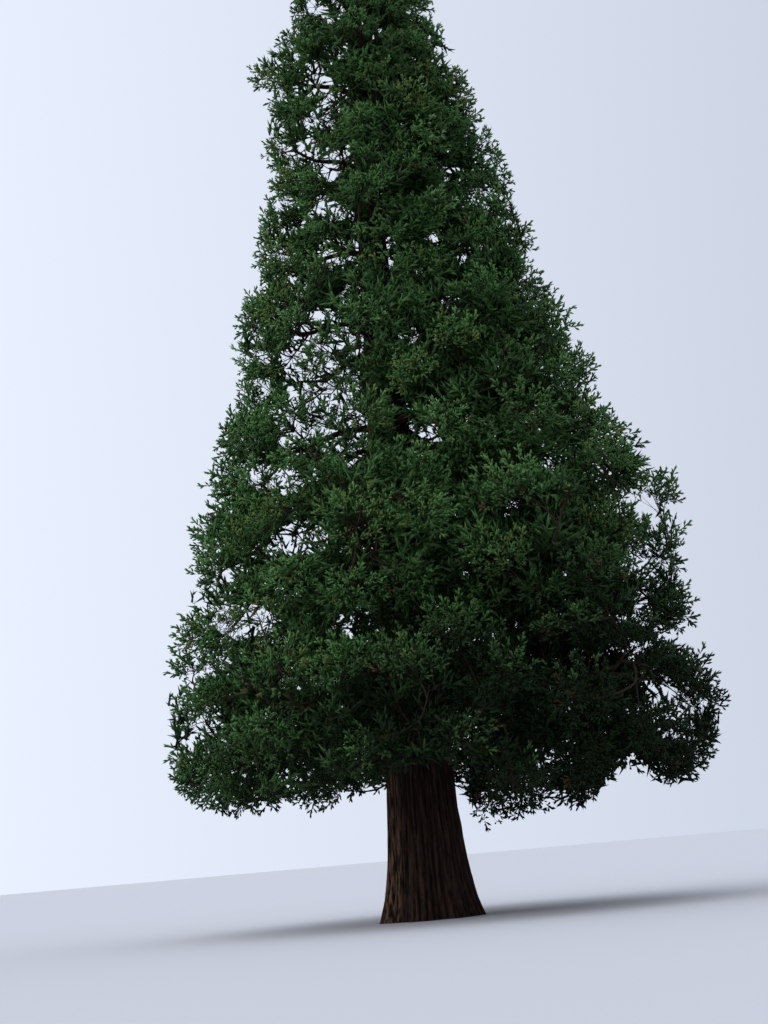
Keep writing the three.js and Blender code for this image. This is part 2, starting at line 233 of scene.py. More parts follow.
HEMS = (
    Hem(-6.4, 3.7),
    Hem(-5.0, 2.95),
    Hem(-3.2, 2.95),
    Hem(-1.6, 3.3),
    Hem(1.0, 3.4),
    Hem(1.6, 1.9),
    Hem(3.0, 1.95),
    Hem(4.5, 2.55),
    Hem(5.5, 3.5),
    Hem(6.5, 2.4),
    Hem(7.9, 3.6),
)
FILL = 1.25  # how far out sprays may go, in reaches of their mass's block, where nothing else limits them
OVERLAP = 0.2  # how far sprays may pass into a neighbour's space
TOP_OVERLAP = 1.5  # in the top storeys, whose masses close round the leader
CLOSED_STOREYS = 2  # how many top storeys that is


class Shell(NamedTuple):
    """One layer of clumps in a mass: how many directions are tried, how far out it lies as a share of the
    room there, the least spacing in clump radii, and on which sides of the mass it is."""

    tries: int
    share: float
    spacing: float
    sides: str


CUSHIONS = Shell(900, 1.0, 1.45, "open")
SHELLS = (
    CUSHIONS,
    Shell(400, 0.86, 1.8, "walled"),
    Shell(300, 0.72, 1.85, "all"),
    Shell(120, 0.28, 1.8, "all"),
)
OPEN_SHARE = 0.78  # a side is open where no neighbour limits the mass to less than this share of its block
LEAST_SHELL = 0.2  # of the room, from the mass's centre to a clump's
CUSHION_RADIUS = 1.12  # of a cushion of sprays where the crown is widest
CUSHION_LEAST = 0.42  # of one at the very tip
CUSHION_FLATNESS = 0.8  # of a cushion's height to its width
CUSHION_SINK = 0.65  # in cushion radii, from the edge of the room in to a cushion's centre
CUSHION_SWELL = 0.6  # how closely the cushions follow the mass's lumps
INNER_SHARE = 0.58  # of an inner clump's radius to a cushion's
CLUMP_SIZES = (0.82, 1.18)  # the least and the most that chance makes of a clump's radius
EDGE_ROOM = 0.78  # in clump radii, that clumps are drawn in from the crown's outline
HEM_ROOM = 0.8  # of that, that they are lifted over its hem
CLUMP_MARGIN = 0.3  # in clump radii, that their centres still have to lie inside both
AXIS_ROOM = 0.1  # from the trunk's axis, past which no clump is drawn in

LEADER_START = 0.9  # of a top mass's rise under its centre, where the clumps that clothe the leader begin
LEADER_STEP = 0.28  # between them
LEADER_TIP = 0.16  # of the leader above the last of them
LEADER_RADIUS = 0.42  # of the lowest of them
LEADER_TAPER = 0.45  # of the highest one's radius to that
LEADER_STAND = 0.06  # of their centres off the leader
LEADER_LIFT = 0.6  # how far up they face for each step outwards

BRANCH_STEPS = 6
BRANCH_SIDES = 4
BRANCH_RADIUS = (0.004, 0.011)  # the least, and what a metre across one clump adds; several add as squares
BRANCH_TAPER = 0.4  # of its radius near its end to that at its root
BRANCH_TIP_RADIUS = 0.006
FORK_SPACING = 3  # points of a limb from one place that a branch may leave to the next
FORK_EASE = 0.5  # how much a branch would rather leave what runs its own way
FORK_CHANCE = (0.93, 1.07)  # the least and the most that chance makes of a fork's cost
SHORT_BRANCH = 0.2  # below which a branch looks for another fork
SHORT_COST = 9
BEND_PLACE = 0.35  # where a branch bends, and how far it does so onwards, down and by chance, in its lengths
BEND_ONWARDS = 0.22
BEND_DOWN = 0.12
BEND_CHANCE = 0.06

TWIG_RADIUS = 0.009
TWIG_SIDES = 3
TWIG_CROWDING = 39  # directions that are tried for the twigs of a cushion of radius 1
TWIG_POWER = 1.8  # of a cushion's radius, with which their number grows
LEAST_TWIGS = 8
INNER_TWIGS = (13, 21)  # tried in a shaded clump, in a mass to -X and in one to +X
LOW_CLUMPS = 4.5  # the height below which the shaded clumps are fuller
LOW_FULLNESS = 1.5
FAN_LIFT = 0.7  # how far up the middle of a fan of twigs points for each step outwards
FAN_FACING = (-0.25, -0.5)  # the least cosine between a twig and that, in a cushion and in a shaded clump
TWIG_SHORTNESS = 0.55  # in spray lengths, that a twig ends inside its clump
TWIG_LENGTHS = (0.82, 1.02)  # the least and the most that chance makes of a twig
TWIG_PLACES = (0.5, 1)  # the stretch of a branch that its twigs leave
TWIG_MARGIN = 0.05  # of a twig's end inside the crown's outline
TUFTS = 5.0  # how close the tufts on a cushion are
TUFT_HEIGHT = 0.2  # in cushion radii


class Perch(NamedTuple):
    """A place on a twig for a spray: how far along it, how far the spray leans to one side or the other, its
    share of the full length, and whether a shaded twig has one there too."""

    along: float
    lean: float
    share: float
    shaded: bool


PERCHES = (
    Perch(1.0, 0.0, 1.1, True),
    Perch(0.84, 1.0, 0.95, False),
    Perch(0.68, -1.0, 0.95, True),
    Perch(0.5, 0.7, 0.9, False),
)
AIM_BACK = 0.45  # how much less a leaning spray follows its twig
AIM_ASIDE = 0.75
AIM_UP = 0.28
AIM_OUT = 0.25
AIM_CHANCE = 0.12
SPRAY_LENGTH = 0.22  # of the shortest sprays, in the smallest cushions
SPRAY_GROWTH = 0.11  # what a metre of cushion radius adds to it
SPRAY_LENGTHS = (0.8, 1.2)  # the least and the most that chance makes of a spray
LEAST_SPRAY = 0.1  # at the leader's tip, where the sprays get shorter
SPRAY_SINK = 0.08  # of its length, that a spray's root lies behind its place on the twig
SPRAY_EXCESS = 0.1  # that a spray's tip may pass the crown's outline
INNER_STRETCH = (1.4, 2.1)  # of the shaded sprays near the crown's surface, and of those deep inside it
INNER_DEPTH = 0.26  # in cushion radii, how far the shaded sprays keep inside the crown
DEEP_INSIDE = 1.3  # in cushion radii
CORD_WAIST = 0.62  # where a branchlet is thickest
OUTER_SPRAY = (4, 0.084)  # how many side branchlets a spray has, and how thick they are
INNER_SPRAY = (3, 0.082)
SIDE_PLACES = (0.06, 0.58)  # of a spray's lowest side branchlet and its highest, along it
SIDE_LENGTHS = (0.56, 0.4)
SIDE_ANGLES = (50, 30)  # degrees that they stand off it

# The needle colours from gloom to tip are lit and shaded copies of one green: the darker ones are painted
# shade and the lighter ones painted light, dealt out by each spray's tone
NEEDLE_COLOURS = ("gloom", "deep", "shade", "dark", "green", "well_lit", "tip", "olive", "brown")
TONES = (-2.0, -1.3, -0.75, -0.25, 0.2, 0.6)  # between the colours, from the darkest to that of the tips
LIGHT_LIFT = 1.2  # how far up from a clump the painted light comes for each step outwards
LIGHT_CONTRAST = 1.7
LIGHT_MIDDLE = 0.42  # in clump radii towards the light, where the tone is 0
MOOD_CHANCE = 0.17  # how far the tones differ from clump to clump
TONE_CHANCE = 0.13  # and from spray to spray
# Painted shade that darkens the tones of the inner sprays, of the crown's right side and of its low part,
# most of all to the right
INNER_SHADE = 0.35
SIDE_SHADE = 0.35
SHADE_SIDES = (-3, 5)  # the X between which the shade deepens to the right
SHADED_BELOW = 9.0  # where the crown hangs in its own shade and gets painted shade, most of all to the right
SHADE_SLOPE = 1.6  # how fast that shade deepens downwards
LOW_SHADE = 0.9
LOW_SIDE_SHADE = 2.25
FIRST_OLIVE = NEEDLE_COLOURS.index("shade")  # the darkest colour that olive sprays stand among
OLIVE_SHARE = 0.6  # of the sprays in the most olive cushion
OLIVE_POWER = 3  # that makes most cushions less olive
BROWN_SHARE = 0.006
MASSES_PER_PIECE = 4
GROWTH_SEED = 7001
GROWTH_SEED_STEP = 37  # from mass to mass
NEEDLE_SEED = 501
NEEDLE_SEED_STEP = 17  # from storey to storey

# The picture's camera, in the picture's own pixels and in metres, and the gaps that it sees in the crown

PICTURE = (768, 1024)
FOCAL_PIXELS = 2000
EYE = (-0.31, -51.28, 1.65)
EYE_LEVEL = 343  # from the middle of the picture down to the horizon
PITCH = math.atan(EYE_LEVEL / FOCAL_PIXELS)
ROLL = math.radians(5)
SENSOR = 36.0
VIEW_DEPTH = 3000


class SkyGap(NamedTuple):
    """A place in the picture where the sky shows through the crown: an ellipse in its pixels, and the share
    of the sprays in front of it that are left out."""

    u: float
    v: float
    half_width: float
    half_height: float
    share: float


SKY_GAPS = (
    SkyGap(330, 10, 17, 12, 0.85),
    SkyGap(357, 30, 6, 9, 0.85),
    SkyGap(377, 33, 8, 6, 0.85),
    SkyGap(337, 51, 9, 8, 0.8),
    SkyGap(292, 60, 6, 7, 0.85),
    SkyGap(319, 88, 12, 24, 0.93),
    SkyGap(338, 96, 9, 16, 0.8),
    SkyGap(270, 97, 13, 7, 0.9),
    SkyGap(319, 121, 15, 12, 0.85),
    SkyGap(304, 153, 18, 15, 0.88),
    SkyGap(345, 155, 10, 11, 0.97),
    SkyGap(328, 170, 12, 11, 0.93),
    SkyGap(284, 204, 9, 9, 0.93),
    SkyGap(334, 212, 18, 9, 0.95),
    SkyGap(310, 218, 6, 5, 0.85),
    SkyGap(339, 250, 19, 13, 0.93),
    SkyGap(283, 257, 9, 6, 0.85),
    SkyGap(299, 288, 9, 10, 0.85),
    SkyGap(349, 295, 12, 10, 0.82),
    SkyGap(388, 257, 7, 19, 0.93),
    SkyGap(323, 333, 24, 19, 0.95),
    SkyGap(359, 346, 9, 13, 0.85),
    SkyGap(292, 356, 13, 9, 0.93),
    SkyGap(264, 358, 9, 9, 0.9),
    SkyGap(263, 389, 7, 11, 0.85),
    SkyGap(326, 383, 34, 22, 0.88),
    SkyGap(298, 389, 11, 15, 0.9),
    SkyGap(320, 415, 38, 16, 0.78),
    SkyGap(296, 436, 17, 20, 0.9),
    SkyGap(325, 437, 16, 15, 0.85),
    SkyGap(356, 444, 15, 23, 0.95),
    SkyGap(255, 469, 11, 9, 0.93),
    SkyGap(278, 482, 28, 13, 0.95),
    SkyGap(300, 540, 26, 16, 0.9),
    SkyGap(243, 620, 31, 16, 0.97),
    SkyGap(382, 540, 8, 16, 0.85),
    SkyGap(405, 426, 8, 20, 0.95),
    SkyGap(430, 434, 10, 10, 0.9),
    SkyGap(433, 240, 7, 7, 0.85),
    SkyGap(421, 273, 8, 8, 0.85),
    SkyGap(463, 259, 8, 5, 0.85),
    SkyGap(448, 300, 7, 7, 0.8),
    SkyGap(411, 335, 7, 8, 0.8),
    SkyGap(513, 505, 12, 7, 0.75),
    SkyGap(551, 463, 10, 6, 0.7),
    SkyGap(612, 513, 15, 5, 0.5),
    SkyGap(647, 491, 7, 8, 0.5),
    SkyGap(657, 541, 7, 20, 0.45),
    SkyGap(641, 608, 8, 17, 0.7),
    SkyGap(620, 619, 9, 6, 0.8),
    SkyGap(638, 651, 13, 11, 0.8),
    SkyGap(678, 688, 11, 6, 0.75),
    SkyGap(665, 732, 9, 6, 0.7),
)
GAP_RIM = 1.6  # where a gap ends, as the square of a distance in its own half widths
GAP_FADE = 2  # how fast it fades in from there
LACED_FROM = 0.4  # the share left out, from which the sprays that stay are smaller
LACE_SIZE = 0.66
LACE_CELLS = 0.45  # radians for each pixel, how close the cells of kept sprays in a gap are
LACE_BENDS = ((1.3, 0.21), (1.1, 0.17))  # how far the cells' columns and rows bend, and how often
LACE_LEVEL = 1.05
LACE_CONTRAST = 2

# Stage


class Sun(NamedTuple):
    """A soft light from far off: its strength, how far it is tipped from straight down, how far that is
    turned about +Z, and how wide it is, in degrees."""

    name: str
    strength: float
    tip: float
    turn: float
    width: float


SUNS = (Sun("key_light", 0.5, 35, -40, 60), Sun("side_light", 0.75, 68, -72, 40))
SUN_HEIGHT = 40  # of its symbol only
SLOPE_BAND = 0.3  # the X of a direction between which, to -X and to +X, the sky's brightness slopes
OVERHEAD_FROM = 0.42  # the Z of a direction from which the sky gets brighter
FLOOR_SIDES = 128

TINY = 1e-6  # keeps a division by zero out
NUDGE = 1e-9  # gives a limb that runs straight up a side too
LEVEL = 1e-4  # by less than which the ends of a level edge differ in height
UP = np.array([0.0, 0.0, 1.0])
GOLDEN_ANGLE = math.pi * (3 - math.sqrt(5))


def lerp(low, high, share):
    return low + (high - low) * share


def unit(vectors):
    return vectors / np.linalg.norm(vectors, axis=-1, keepdims=True)


def polar(points, centre):
    """Each point's direction and distance from a centre."""
    offset = points - centre
    distance = np.linalg.norm(offset, axis=-1)
    return offset / np.maximum(distance, TINY)[:, None], distance


def random_stream(seed):
    """A repeatable stream of numbers from 0 to 1, the same as the solids were drawn from. Its odd numbers and
    shifts only stir the bits."""
    state = seed
    word = 0xFFFFFFFF

    def draw():
        nonlocal state
        state = (state + 0x6D2B79F5) & word
        mixed = (state ^ (state >> 15)) * (state | 1) & word
        mixed ^= (mixed + ((mixed ^ (mixed >> 7)) * (mixed | 61) & word)) & word
        return (mixed ^ (mixed >> 14)) / (word + 1)

    return draw


def even_directions(count, turn=0.0):
    """Directions spread evenly over a sphere, on a golden spiral."""
    step = np.arange(count)
    height = 1 - 2 * (step + 0.5) / count
    angle = turn + step * GOLDEN_ANGLE
    ring = np.sqrt(1 - height**2)
    return np.stack([ring * np.cos(angle), ring * np.sin(angle), height], axis=-1)


def in_picture(points):
    """The pixels at which points show in the picture, as columns u and v."""
    offset = points - np.array(EYE)
    depth = offset[:, 1] * math.cos(PITCH) + offset[:, 2] * math.sin(PITCH)
    right = FOCAL_PIXELS * offset[:, 0] / depth
    above = FOCAL_PIXELS * (offset[:, 2] * math.cos(PITCH) - offset[:, 1] * math.sin(PITCH)) / depth
    u = PICTURE[0] / 2 + right * math.cos(ROLL) - above * math.sin(ROLL)
    v = PICTURE[1] / 2 - right * math.sin(ROLL) - above * math.cos(ROLL)
    return u, v


# Spaces of the masses


def trunk_radius(height):
    share = np.clip(1 - height / TREE_HEIGHT, 0, None)
    return TRUNK_RADIUS * share**TRUNK_TAPER_POWER + FLARE_RADIUS * np.exp(-height / FLARE_HEIGHT)


def flutes(angle, height):
    depth = FLUTE_DEPTH * np.exp(-height / FLUTE_HEIGHT)
    return 1 + depth * sum(share * np.cos(count * angle + phase) for share, count, phase in FLUTES)


def by_chance(least_and_more, draw):
    """A number that chance picks, from the least one up."""
    least, more = least_and_more
    return least + more * draw()


class Mass:
    """One mass of foliage: the rounded block that it may fill, and the planes that part it from others."""

    def __init__(self, storey, level, k, draw):
        self.name, self.storey, self.level = f"{storey.name}_{k + 1}", storey, level
        azimuth = math.radians(storey.turn + 360 / storey.masses * (k + AZIMUTH_CHANCE * (draw() - 0.5)))
        self.flat = np.array([math.cos(azimuth), math.sin(azimuth), 0.0])
        reach = lerp(storey.left, storey.right, (1 + self.flat[0]) / 2) * by_chance(REACH_CHANCE, draw)
        self.share = level / (len(STOREYS) - 1)
        self.depth = reach * (1 - lerp(LOW_INNER_SHARE, TOP_INNER_SHARE, self.share)) / 2
        tilt = math.radians(lerp(LOW_TILT, TOP_TILT, self.share))
        self.outward = self.flat * math.cos(tilt) + UP * math.sin(tilt)
        self.across = np.cross(UP, self.flat)
        self.lift = np.cross(self.outward, self.across)
        self.centre = self.flat * (reach - self.depth)
        stagger = lerp(LOW_STAGGER, TOP_STAGGER, self.share) * by_chance(STAGGER_CHANCE, draw)
        self.centre[2] = storey.height + storey.rise * (stagger if k % 2 else -stagger)
        self.width = min(WIDEST * self.depth, BREADTH * math.pi * BREADTH_PLACE * reach / storey.masses)
        self.rise = storey.rise * by_chance(RISE_CHANCE, draw)
        self.cushion = lerp(CUSHION_LEAST, CUSHION_RADIUS, reach / STOREYS[0].right)
        self.overlap = TOP_OVERLAP if level >= len(STOREYS) - CLOSED_STOREYS else OVERLAP

    def reach(self, directions):
        """How far the block reaches from its centre in each direction."""
        axes = np.stack([self.outward / self.depth, self.across / self.width, self.lift / self.rise])
        return (np.abs(directions @ axes.T) ** FULLNESS).sum(-1) ** (-1 / FULLNESS)

    def part_from(self, masses):
        """Sets the planes that part this mass from the other masses and from the trunk."""
        normals, distances = [-self.flat], []
        thickest = trunk_radius(self.centre[2] - self.rise) * (1 + FLUTE_DEPTH) + SPACE_MARGIN
        distances.append(self.centre @ self.flat - thickest)
        for other in masses:
            if other is not self:
                towards = other.centre - self.centre
                apart = np.linalg.norm(towards)
                towards = towards / apart
                own, theirs = self.reach(towards), other.reach(-towards)
                normals.append(towards)
                distances.append(apart * own / (own + theirs) - SPACE_MARGIN)
        self.normals, self.distances = np.array(normals), np.array(distances)

    def room(self, directions, fill=1.0):
        """How far a ray from the centre goes in each direction before it leaves the mass's space, where the
        mass may go out to fill times the reach of its own block."""
        facing = directions @ self.normals.T
        limits = np.where(facing > TINY, self.distances / np.maximum(facing, TINY), np.inf)
        return np.minimum(fill * self.reach(directions), limits.min(-1))

    def lumps(self, directions):
        """Low, broad swellings, so that a mass isn't an even ball. The waves are those of the solids."""
        x, y, z = np.moveaxis(directions, -1, 0)
        phase = self.level * 1.7 + self.centre[0] / 0.9 + self.centre[1] / 1.3
        wave = np.sin(3.1 * x + 2.3 * z + phase) * np.cos(2.9 * y - 1.3 * phase)
        return 1 + CORE_LUMPS * (wave + 0.6 * np.sin(4.7 * z + 3.9 * y + 2 * phase))

    def core(self, directions):
        """How far the solid's dense core reaches in each direction."""
        free = CORE_SHARE * self.lumps(directions) * self.reach(directions)
        return np.minimum(free, CORE_LIMIT * self.room(directions))

    def holds(self, points, slack, margin):
        """Whether each point lies in the mass's space, or no more than slack outside it, and the margin
        inside the crown's outline and over its hem."""
        directions, distance = polar(points, self.centre)
        inside = distance < self.room(directions, FILL) + slack
        inside &= np.hypot(points[:, 0], points[:, 1]) < outline_at(points) - margin
        low, high = (np.array(corner) for corner in CAD_BOX)
        inside &= ((low < points) & (points < high)).all(1)
        return inside & (points[:, 2] > hem_at(points) + margin)

    def depth_in(self, points):
        """How far inside the surface of the mass's block each point lies."""
        directions, distance = polar(points, self.centre)
        return self.reach(directions) - distance

    def limb_path(self):
        """Points from the trunk's axis out to the tip of the stem, in the middle of the mass."""
        lift = lerp(LOW_BOUGH_LIFT, TOP_BOUGH_LIFT, self.share)
        root = UP * (self.centre[2] + lift)
        end = self.centre + self.outward * STEM_REACH * self.depth
        early = lerp(root, end, ARCH_PLACE) + UP * BOUGH_ARCH
        late = lerp(root, end, SAG_PLACE) - UP * BOUGH_SAG * (1 - self.share)
        return smooth_path([root, early, late, end], LIMB_POINTS)


def smooth_path(corners, count):
    """Evenly spaced points on a smooth curve through the given corners."""
    corners = [2 * corners[0] - corners[1], *corners, 2 * corners[-1] - corners[-2]]
    curve = []
    for a, b, c, d in zip(corners, corners[1:], corners[2:], corners[3:]):
        ab, bc, cd = (math.sqrt(np.linalg.norm(q - p)) for p, q in ((a, b), (b, c), (c, d)))
        leaving = bc * ((b - a) / ab - (c - a) / (ab + bc) + (c - b) / bc)
        arriving = bc * ((c - b) / bc - (d - b) / (bc + cd) + (d - c) / cd)
        t = np.linspace(0, 1, CURVE_STEPS, endpoint=False)[:, None]
        square = 3 * (c - b) - 2 * leaving - arriving
        cube = 2 * (b - c) + leaving + arriving
        curve.append(b + t * leaving + t**2 * square + t**3 * cube)
    curve = np.vstack([*curve, corners[-2]])
    run = np.concatenate([[0], np.cumsum(np.linalg.norm(np.diff(curve, axis=0), axis=1))])
    wanted = np.linspace(0, run[-1], count)
    return np.stack([np.interp(wanted, run, curve[:, axis]) for axis in range(3)], axis=1)


@lru_cache(maxsize=1)
def crown():
    """Every mass of the crown, in the order of the solids."""
    masses = []
    for level, storey in enumerate(STOREYS):
        draw = random_stream(CROWN_SEED + level)
        masses += [Mass(storey, level, k, draw) for k in range(storey.masses)]
    for mass in masses:
        mass.part_from(masses)
    return masses


# Growth within a mass


class Clumps(NamedTuple):
    """The clumps of a mass, as arrays: their centres, outward directions and radii, and whether they are
    shaded inner ones."""

    centres: np.ndarray
    outs: np.ndarray
    sizes: np.ndarray
    inner: np.ndarray


class Sprays(NamedTuple):
    """The sprays of a mass, as arrays: their roots, directions and lengths, how light they are, how likely
    each is olive, and whether they are shaded inner ones."""

    roots: np.ndarray
    directions: np.ndarray
    lengths: np.ndarray
    tones: np.ndarray
    olive: np.ndarray
    inner: np.ndarray


class Growth(NamedTuple):
    """What grows in one mass: its branches' paths and radii, its twigs' ends, and its sprays."""

    branch_paths: np.ndarray
    branch_radii: np.ndarray
    twig_starts: np.ndarray
    twig_ends: np.ndarray
    sprays: Sprays


def spaced(points, order, gap):
    """The points, taken in that order, that lie further than gap from all that were taken before them."""
    taken = []
    for i in order:
        if not taken or np.linalg.norm(points[taken] - points[i], axis=1).min() > gap:
            taken.append(i)
    return np.array(taken, int)


def outline_at(points):
    """How far from the trunk's axis the crown reaches at each point's height and side."""
    heights, left, right = (np.array(column) for column in zip(*OUTLINE))
    side = (1 + points[..., 0] / np.maximum(np.hypot(points[..., 0], points[..., 1]), TINY)) / 2
    height = points[..., 2]
    return lerp(np.interp(height, heights, left), np.interp(height, heights, right), side)


def hem_at(points):
    """How low the sprays may hang at each point."""
    across, height = (np.array(column) for column in zip(*HEMS))
    return np.interp(points[..., 0], across, height)


def drawn_in(points, margin):
    """The points, lifted over the crown's hem and moved towards the trunk's axis until they lie the margin
    inside its outline."""
    lift = np.maximum(hem_at(points) + HEM_ROOM * margin - points[:, 2], 0)
    points = points + UP * lift[:, None]
    distance = np.hypot(points[:, 0], points[:, 1])
    share = np.minimum(1, np.maximum(outline_at(points) - margin, AXIS_ROOM) / np.maximum(distance, TINY))
    return points * np.stack([share, share, np.ones(len(points))], axis=1)


def clumps_of(mass, rng):
    """The clumps of a mass. Cushions stand side by side on its open sides, and smaller, shaded clumps fill it
    behind them."""
    rows = []
    for shell in SHELLS:
        inner = shell is not CUSHIONS
        radius = mass.cushion * (INNER_SHARE if inner else 1)
        directions = even_directions(shell.tries, rng.uniform(0, math.tau))
        room = mass.room(directions, FILL)
        distance = room * shell.share
        if not inner:
            swell = 1 + CUSHION_SWELL * (mass.lumps(directions) - 1 - CORE_LUMPS)
            distance = distance * swell - CUSHION_SINK * radius
        distance = np.maximum(distance, LEAST_SHELL * room)
        points = drawn_in(mass.centre + directions * distance[:, None], EDGE_ROOM * radius)
        is_open = room > OPEN_SHARE * mass.reach(directions)
        sides = {"open": is_open, "walled": ~is_open, "all": np.ones(shell.tries, bool)}
        allowed = sides[shell.sides] & mass.holds(points, 0, CLUMP_MARGIN * radius)
        order = [i for i in rng.permutation(shell.tries) if allowed[i]]
        taken = spaced(points, order, shell.spacing * radius)
        sizes = radius * rng.uniform(*CLUMP_SIZES, len(taken))
        rows.append((points[taken], directions[taken], sizes, np.full(len(taken), inner)))
    if mass.storey is STOREYS[-1]:
        rows.append(leader_clumps(mass))
    return Clumps(*(np.concatenate(column) for column in zip(*rows)))


def leader_clumps(mass):
    """Small clumps up the leader, on the side of this mass."""
    start = mass.centre[2] - LEADER_START * mass.rise
    heights = np.arange(start, TREE_HEIGHT - LEADER_TIP, LEADER_STEP)
    points = UP * heights[:, None] + mass.flat * (trunk_radius(heights) + LEADER_STAND)[:, None]
    share = (heights - heights[0]) / (heights[-1] - heights[0])
    directions = np.tile(unit(mass.flat + LEADER_LIFT * UP), (len(heights), 1))
    sizes = lerp(LEADER_RADIUS, LEADER_TAPER * LEADER_RADIUS, share)
    return points, directions, sizes, np.zeros(len(heights), bool)


def branches_of(mass, clumps, rng):
    """A branch to each clump, from the limb or from a branch that is already there, whichever it leaves most
    easily. Each is a curve that sags and then turns up, as thick as the clumps that it carries ask."""
    limb = mass.limb_path()
    clear = np.hypot(limb[:, 0], limb[:, 1]) > trunk_radius(limb[:, 2])
    limb = limb[int(np.argmax(clear)) :: FORK_SPACING]
    places, runs = limb, unit(np.gradient(limb, axis=0))
    owners = np.full(len(limb), -1)
    t = np.linspace(0, 1, BRANCH_STEPS)[:, None]
    centres, count = clumps.centres, len(clumps.centres)
    paths, carried = np.empty((count, BRANCH_STEPS, 3)), np.zeros(count)
    parents = np.full(count, -1)
    for i in np.argsort(np.linalg.norm(limb[None] - centres[:, None], axis=2).min(1)):
        offset = centres[i] - places
        apart = np.linalg.norm(offset, axis=1)
        forward = (offset * runs).sum(1) / np.maximum(apart, TINY)
        cost = apart * (1 + FORK_EASE - FORK_EASE * forward) + np.where(apart < SHORT_BRANCH, SHORT_COST, 0)
        start = int(np.argmin(cost * rng.uniform(*FORK_CHANCE, len(cost))))
        run = apart[start]
        bend = lerp(places[start], centres[i], BEND_PLACE) + runs[start] * BEND_ONWARDS * run
        bend = bend - UP * BEND_DOWN * run + rng.normal(0, BEND_CHANCE, 3) * run
        paths[i] = (1 - t) ** 2 * places[start] + 2 * t * (1 - t) * bend + t**2 * centres[i]
        parents[i] = owners[start]
        places = np.concatenate([places, paths[i, 1:-1]])
        runs = np.concatenate([runs, unit(np.gradient(paths[i], axis=0))[1:-1]])
        owners = np.concatenate([owners, np.full(BRANCH_STEPS - 2, i)])
        parent = i
        while parent >= 0:
            carried[parent] += (2 * clumps.sizes[i]) ** 2
            parent = parents[parent]
    least, gain = BRANCH_RADIUS
    base = gain * np.sqrt(carried) + least
    radii = lerp(base[:, None], np.maximum(BRANCH_TIP_RADIUS, BRANCH_TAPER * base[:, None]), t[:, 0])
    radii[:, -1] = BRANCH_TIP_RADIUS
    return paths, radii


def twigs_of(mass, clumps, paths, rng):
    """The ends of the twigs that fan out from the last stretch of each branch into its clump, and which clump
    each of them is in."""
    starts, ends, owners = [], [], []
    inner_twigs = round(lerp(*INNER_TWIGS, (1 + mass.flat[0]) / 2))
    for i, (centre, out, size, inner) in enumerate(zip(*clumps)):
        count = max(LEAST_TWIGS, int(TWIG_CROWDING * size**TWIG_POWER))
        if inner:
            count = round(inner_twigs * (LOW_FULLNESS if centre[2] < LOW_CLUMPS else 1))
        fan = even_directions(count, rng.uniform(0, math.tau))
        fan = fan[fan @ unit(out + FAN_LIFT * UP) > FAN_FACING[int(inner)]]
        tuft = np.sin(TUFTS * fan + rng.uniform(0, math.tau, 3)).prod(1)
        length = rng.uniform(*TWIG_LENGTHS, len(fan)) + TUFT_HEIGHT * tuft
        stretch = (size - TWIG_SHORTNESS * spray_length(size)) * length
        ends.append(centre + fan * stretch[:, None] * np.array([1, 1, CUSHION_FLATNESS]))
        along = rng.uniform(*TWIG_PLACES, len(fan)) * (BRANCH_STEPS - 1)
        whole = np.minimum(along.astype(int), BRANCH_STEPS - 2)
        starts.append(lerp(paths[i][whole], paths[i][whole + 1], (along - whole)[:, None]))
        owners.append(np.full(len(fan), i))
    starts, ends, owners = (np.concatenate(column) for column in (starts, ends, owners))
    kept = mass.holds(ends, mass.overlap / 2, TWIG_MARGIN)
    return starts[kept], ends[kept], owners[kept]


def spray_length(size):
    return SPRAY_LENGTH + SPRAY_GROWTH * size


def sprays_on(mass, clumps, starts, ends, owners, rng):
    """The roots, directions and lengths of the sprays on a mass's twigs, and which twig each is on."""
    inner = clumps.inner[owners]
    deep = np.clip(mass.depth_in(ends) / (DEEP_INSIDE * mass.cushion), 0, 1)
    full = spray_length(clumps.sizes[owners]) * np.where(inner, lerp(*INNER_STRETCH, deep), 1.0)
    run = unit(ends - starts)
    side = unit(np.cross(run, rng.normal(size=run.shape)))
    rows = []
    for perch in PERCHES:
        aim = run * (1 - AIM_BACK * abs(perch.lean)) + side * AIM_ASIDE * perch.lean + UP * AIM_UP
        aim = unit(aim + AIM_OUT * clumps.outs[owners] + rng.normal(0, AIM_CHANCE, aim.shape))
        length = full * perch.share * rng.uniform(*SPRAY_LENGTHS, len(aim))
        length = np.minimum(length, np.maximum(TREE_HEIGHT - ends[:, 2], LEAST_SPRAY))
        root = lerp(starts, ends, perch.along) - aim * SPRAY_SINK * length[:, None]
        used = ~inner | perch.shaded
        rows.append([column[used] for column in (root, aim, length, np.arange(len(ends)))])
    return [np.concatenate(column) for column in zip(*rows)]


def in_reach(mass, tips, shaded):
    """Whether each spray's tip stays in the mass's reach and, in the shade, well inside the crown."""
    sunk = INNER_DEPTH * mass.cushion
    well_inside = mass.holds(tips, mass.overlap, sunk) & (mass.depth_in(tips) > sunk)
    return mass.holds(tips, mass.overlap, -SPRAY_EXCESS) & (~shaded | well_inside)


def tones_of(clumps, owners, roots, moods, rng):
    """How light each spray is: painted light makes it lighter on the upper and outer side of its clump, and
    painted shade makes it darker inside the crown and low down to the right, where it hangs in its own shade."""
    towards = unit(clumps.outs + LIGHT_LIFT * UP)
    lit = ((roots - clumps.centres[owners]) * towards[owners]).sum(1) / clumps.sizes[owners]
    tones = LIGHT_CONTRAST * (lit - LIGHT_MIDDLE) + moods[owners]
    tones += rng.normal(0, TONE_CHANCE, len(owners))
    tones -= INNER_SHADE * clumps.inner[owners]
    low = np.clip(SHADE_SLOPE * (1 - roots[:, 2] / SHADED_BELOW), 0, 1)
    start, end = SHADE_SIDES
    aside = np.clip((roots[:, 0] - start) / (end - start), 0, 1)
    return tones - (SIDE_SHADE * aside + low * (LOW_SHADE + LOW_SIDE_SHADE * aside))


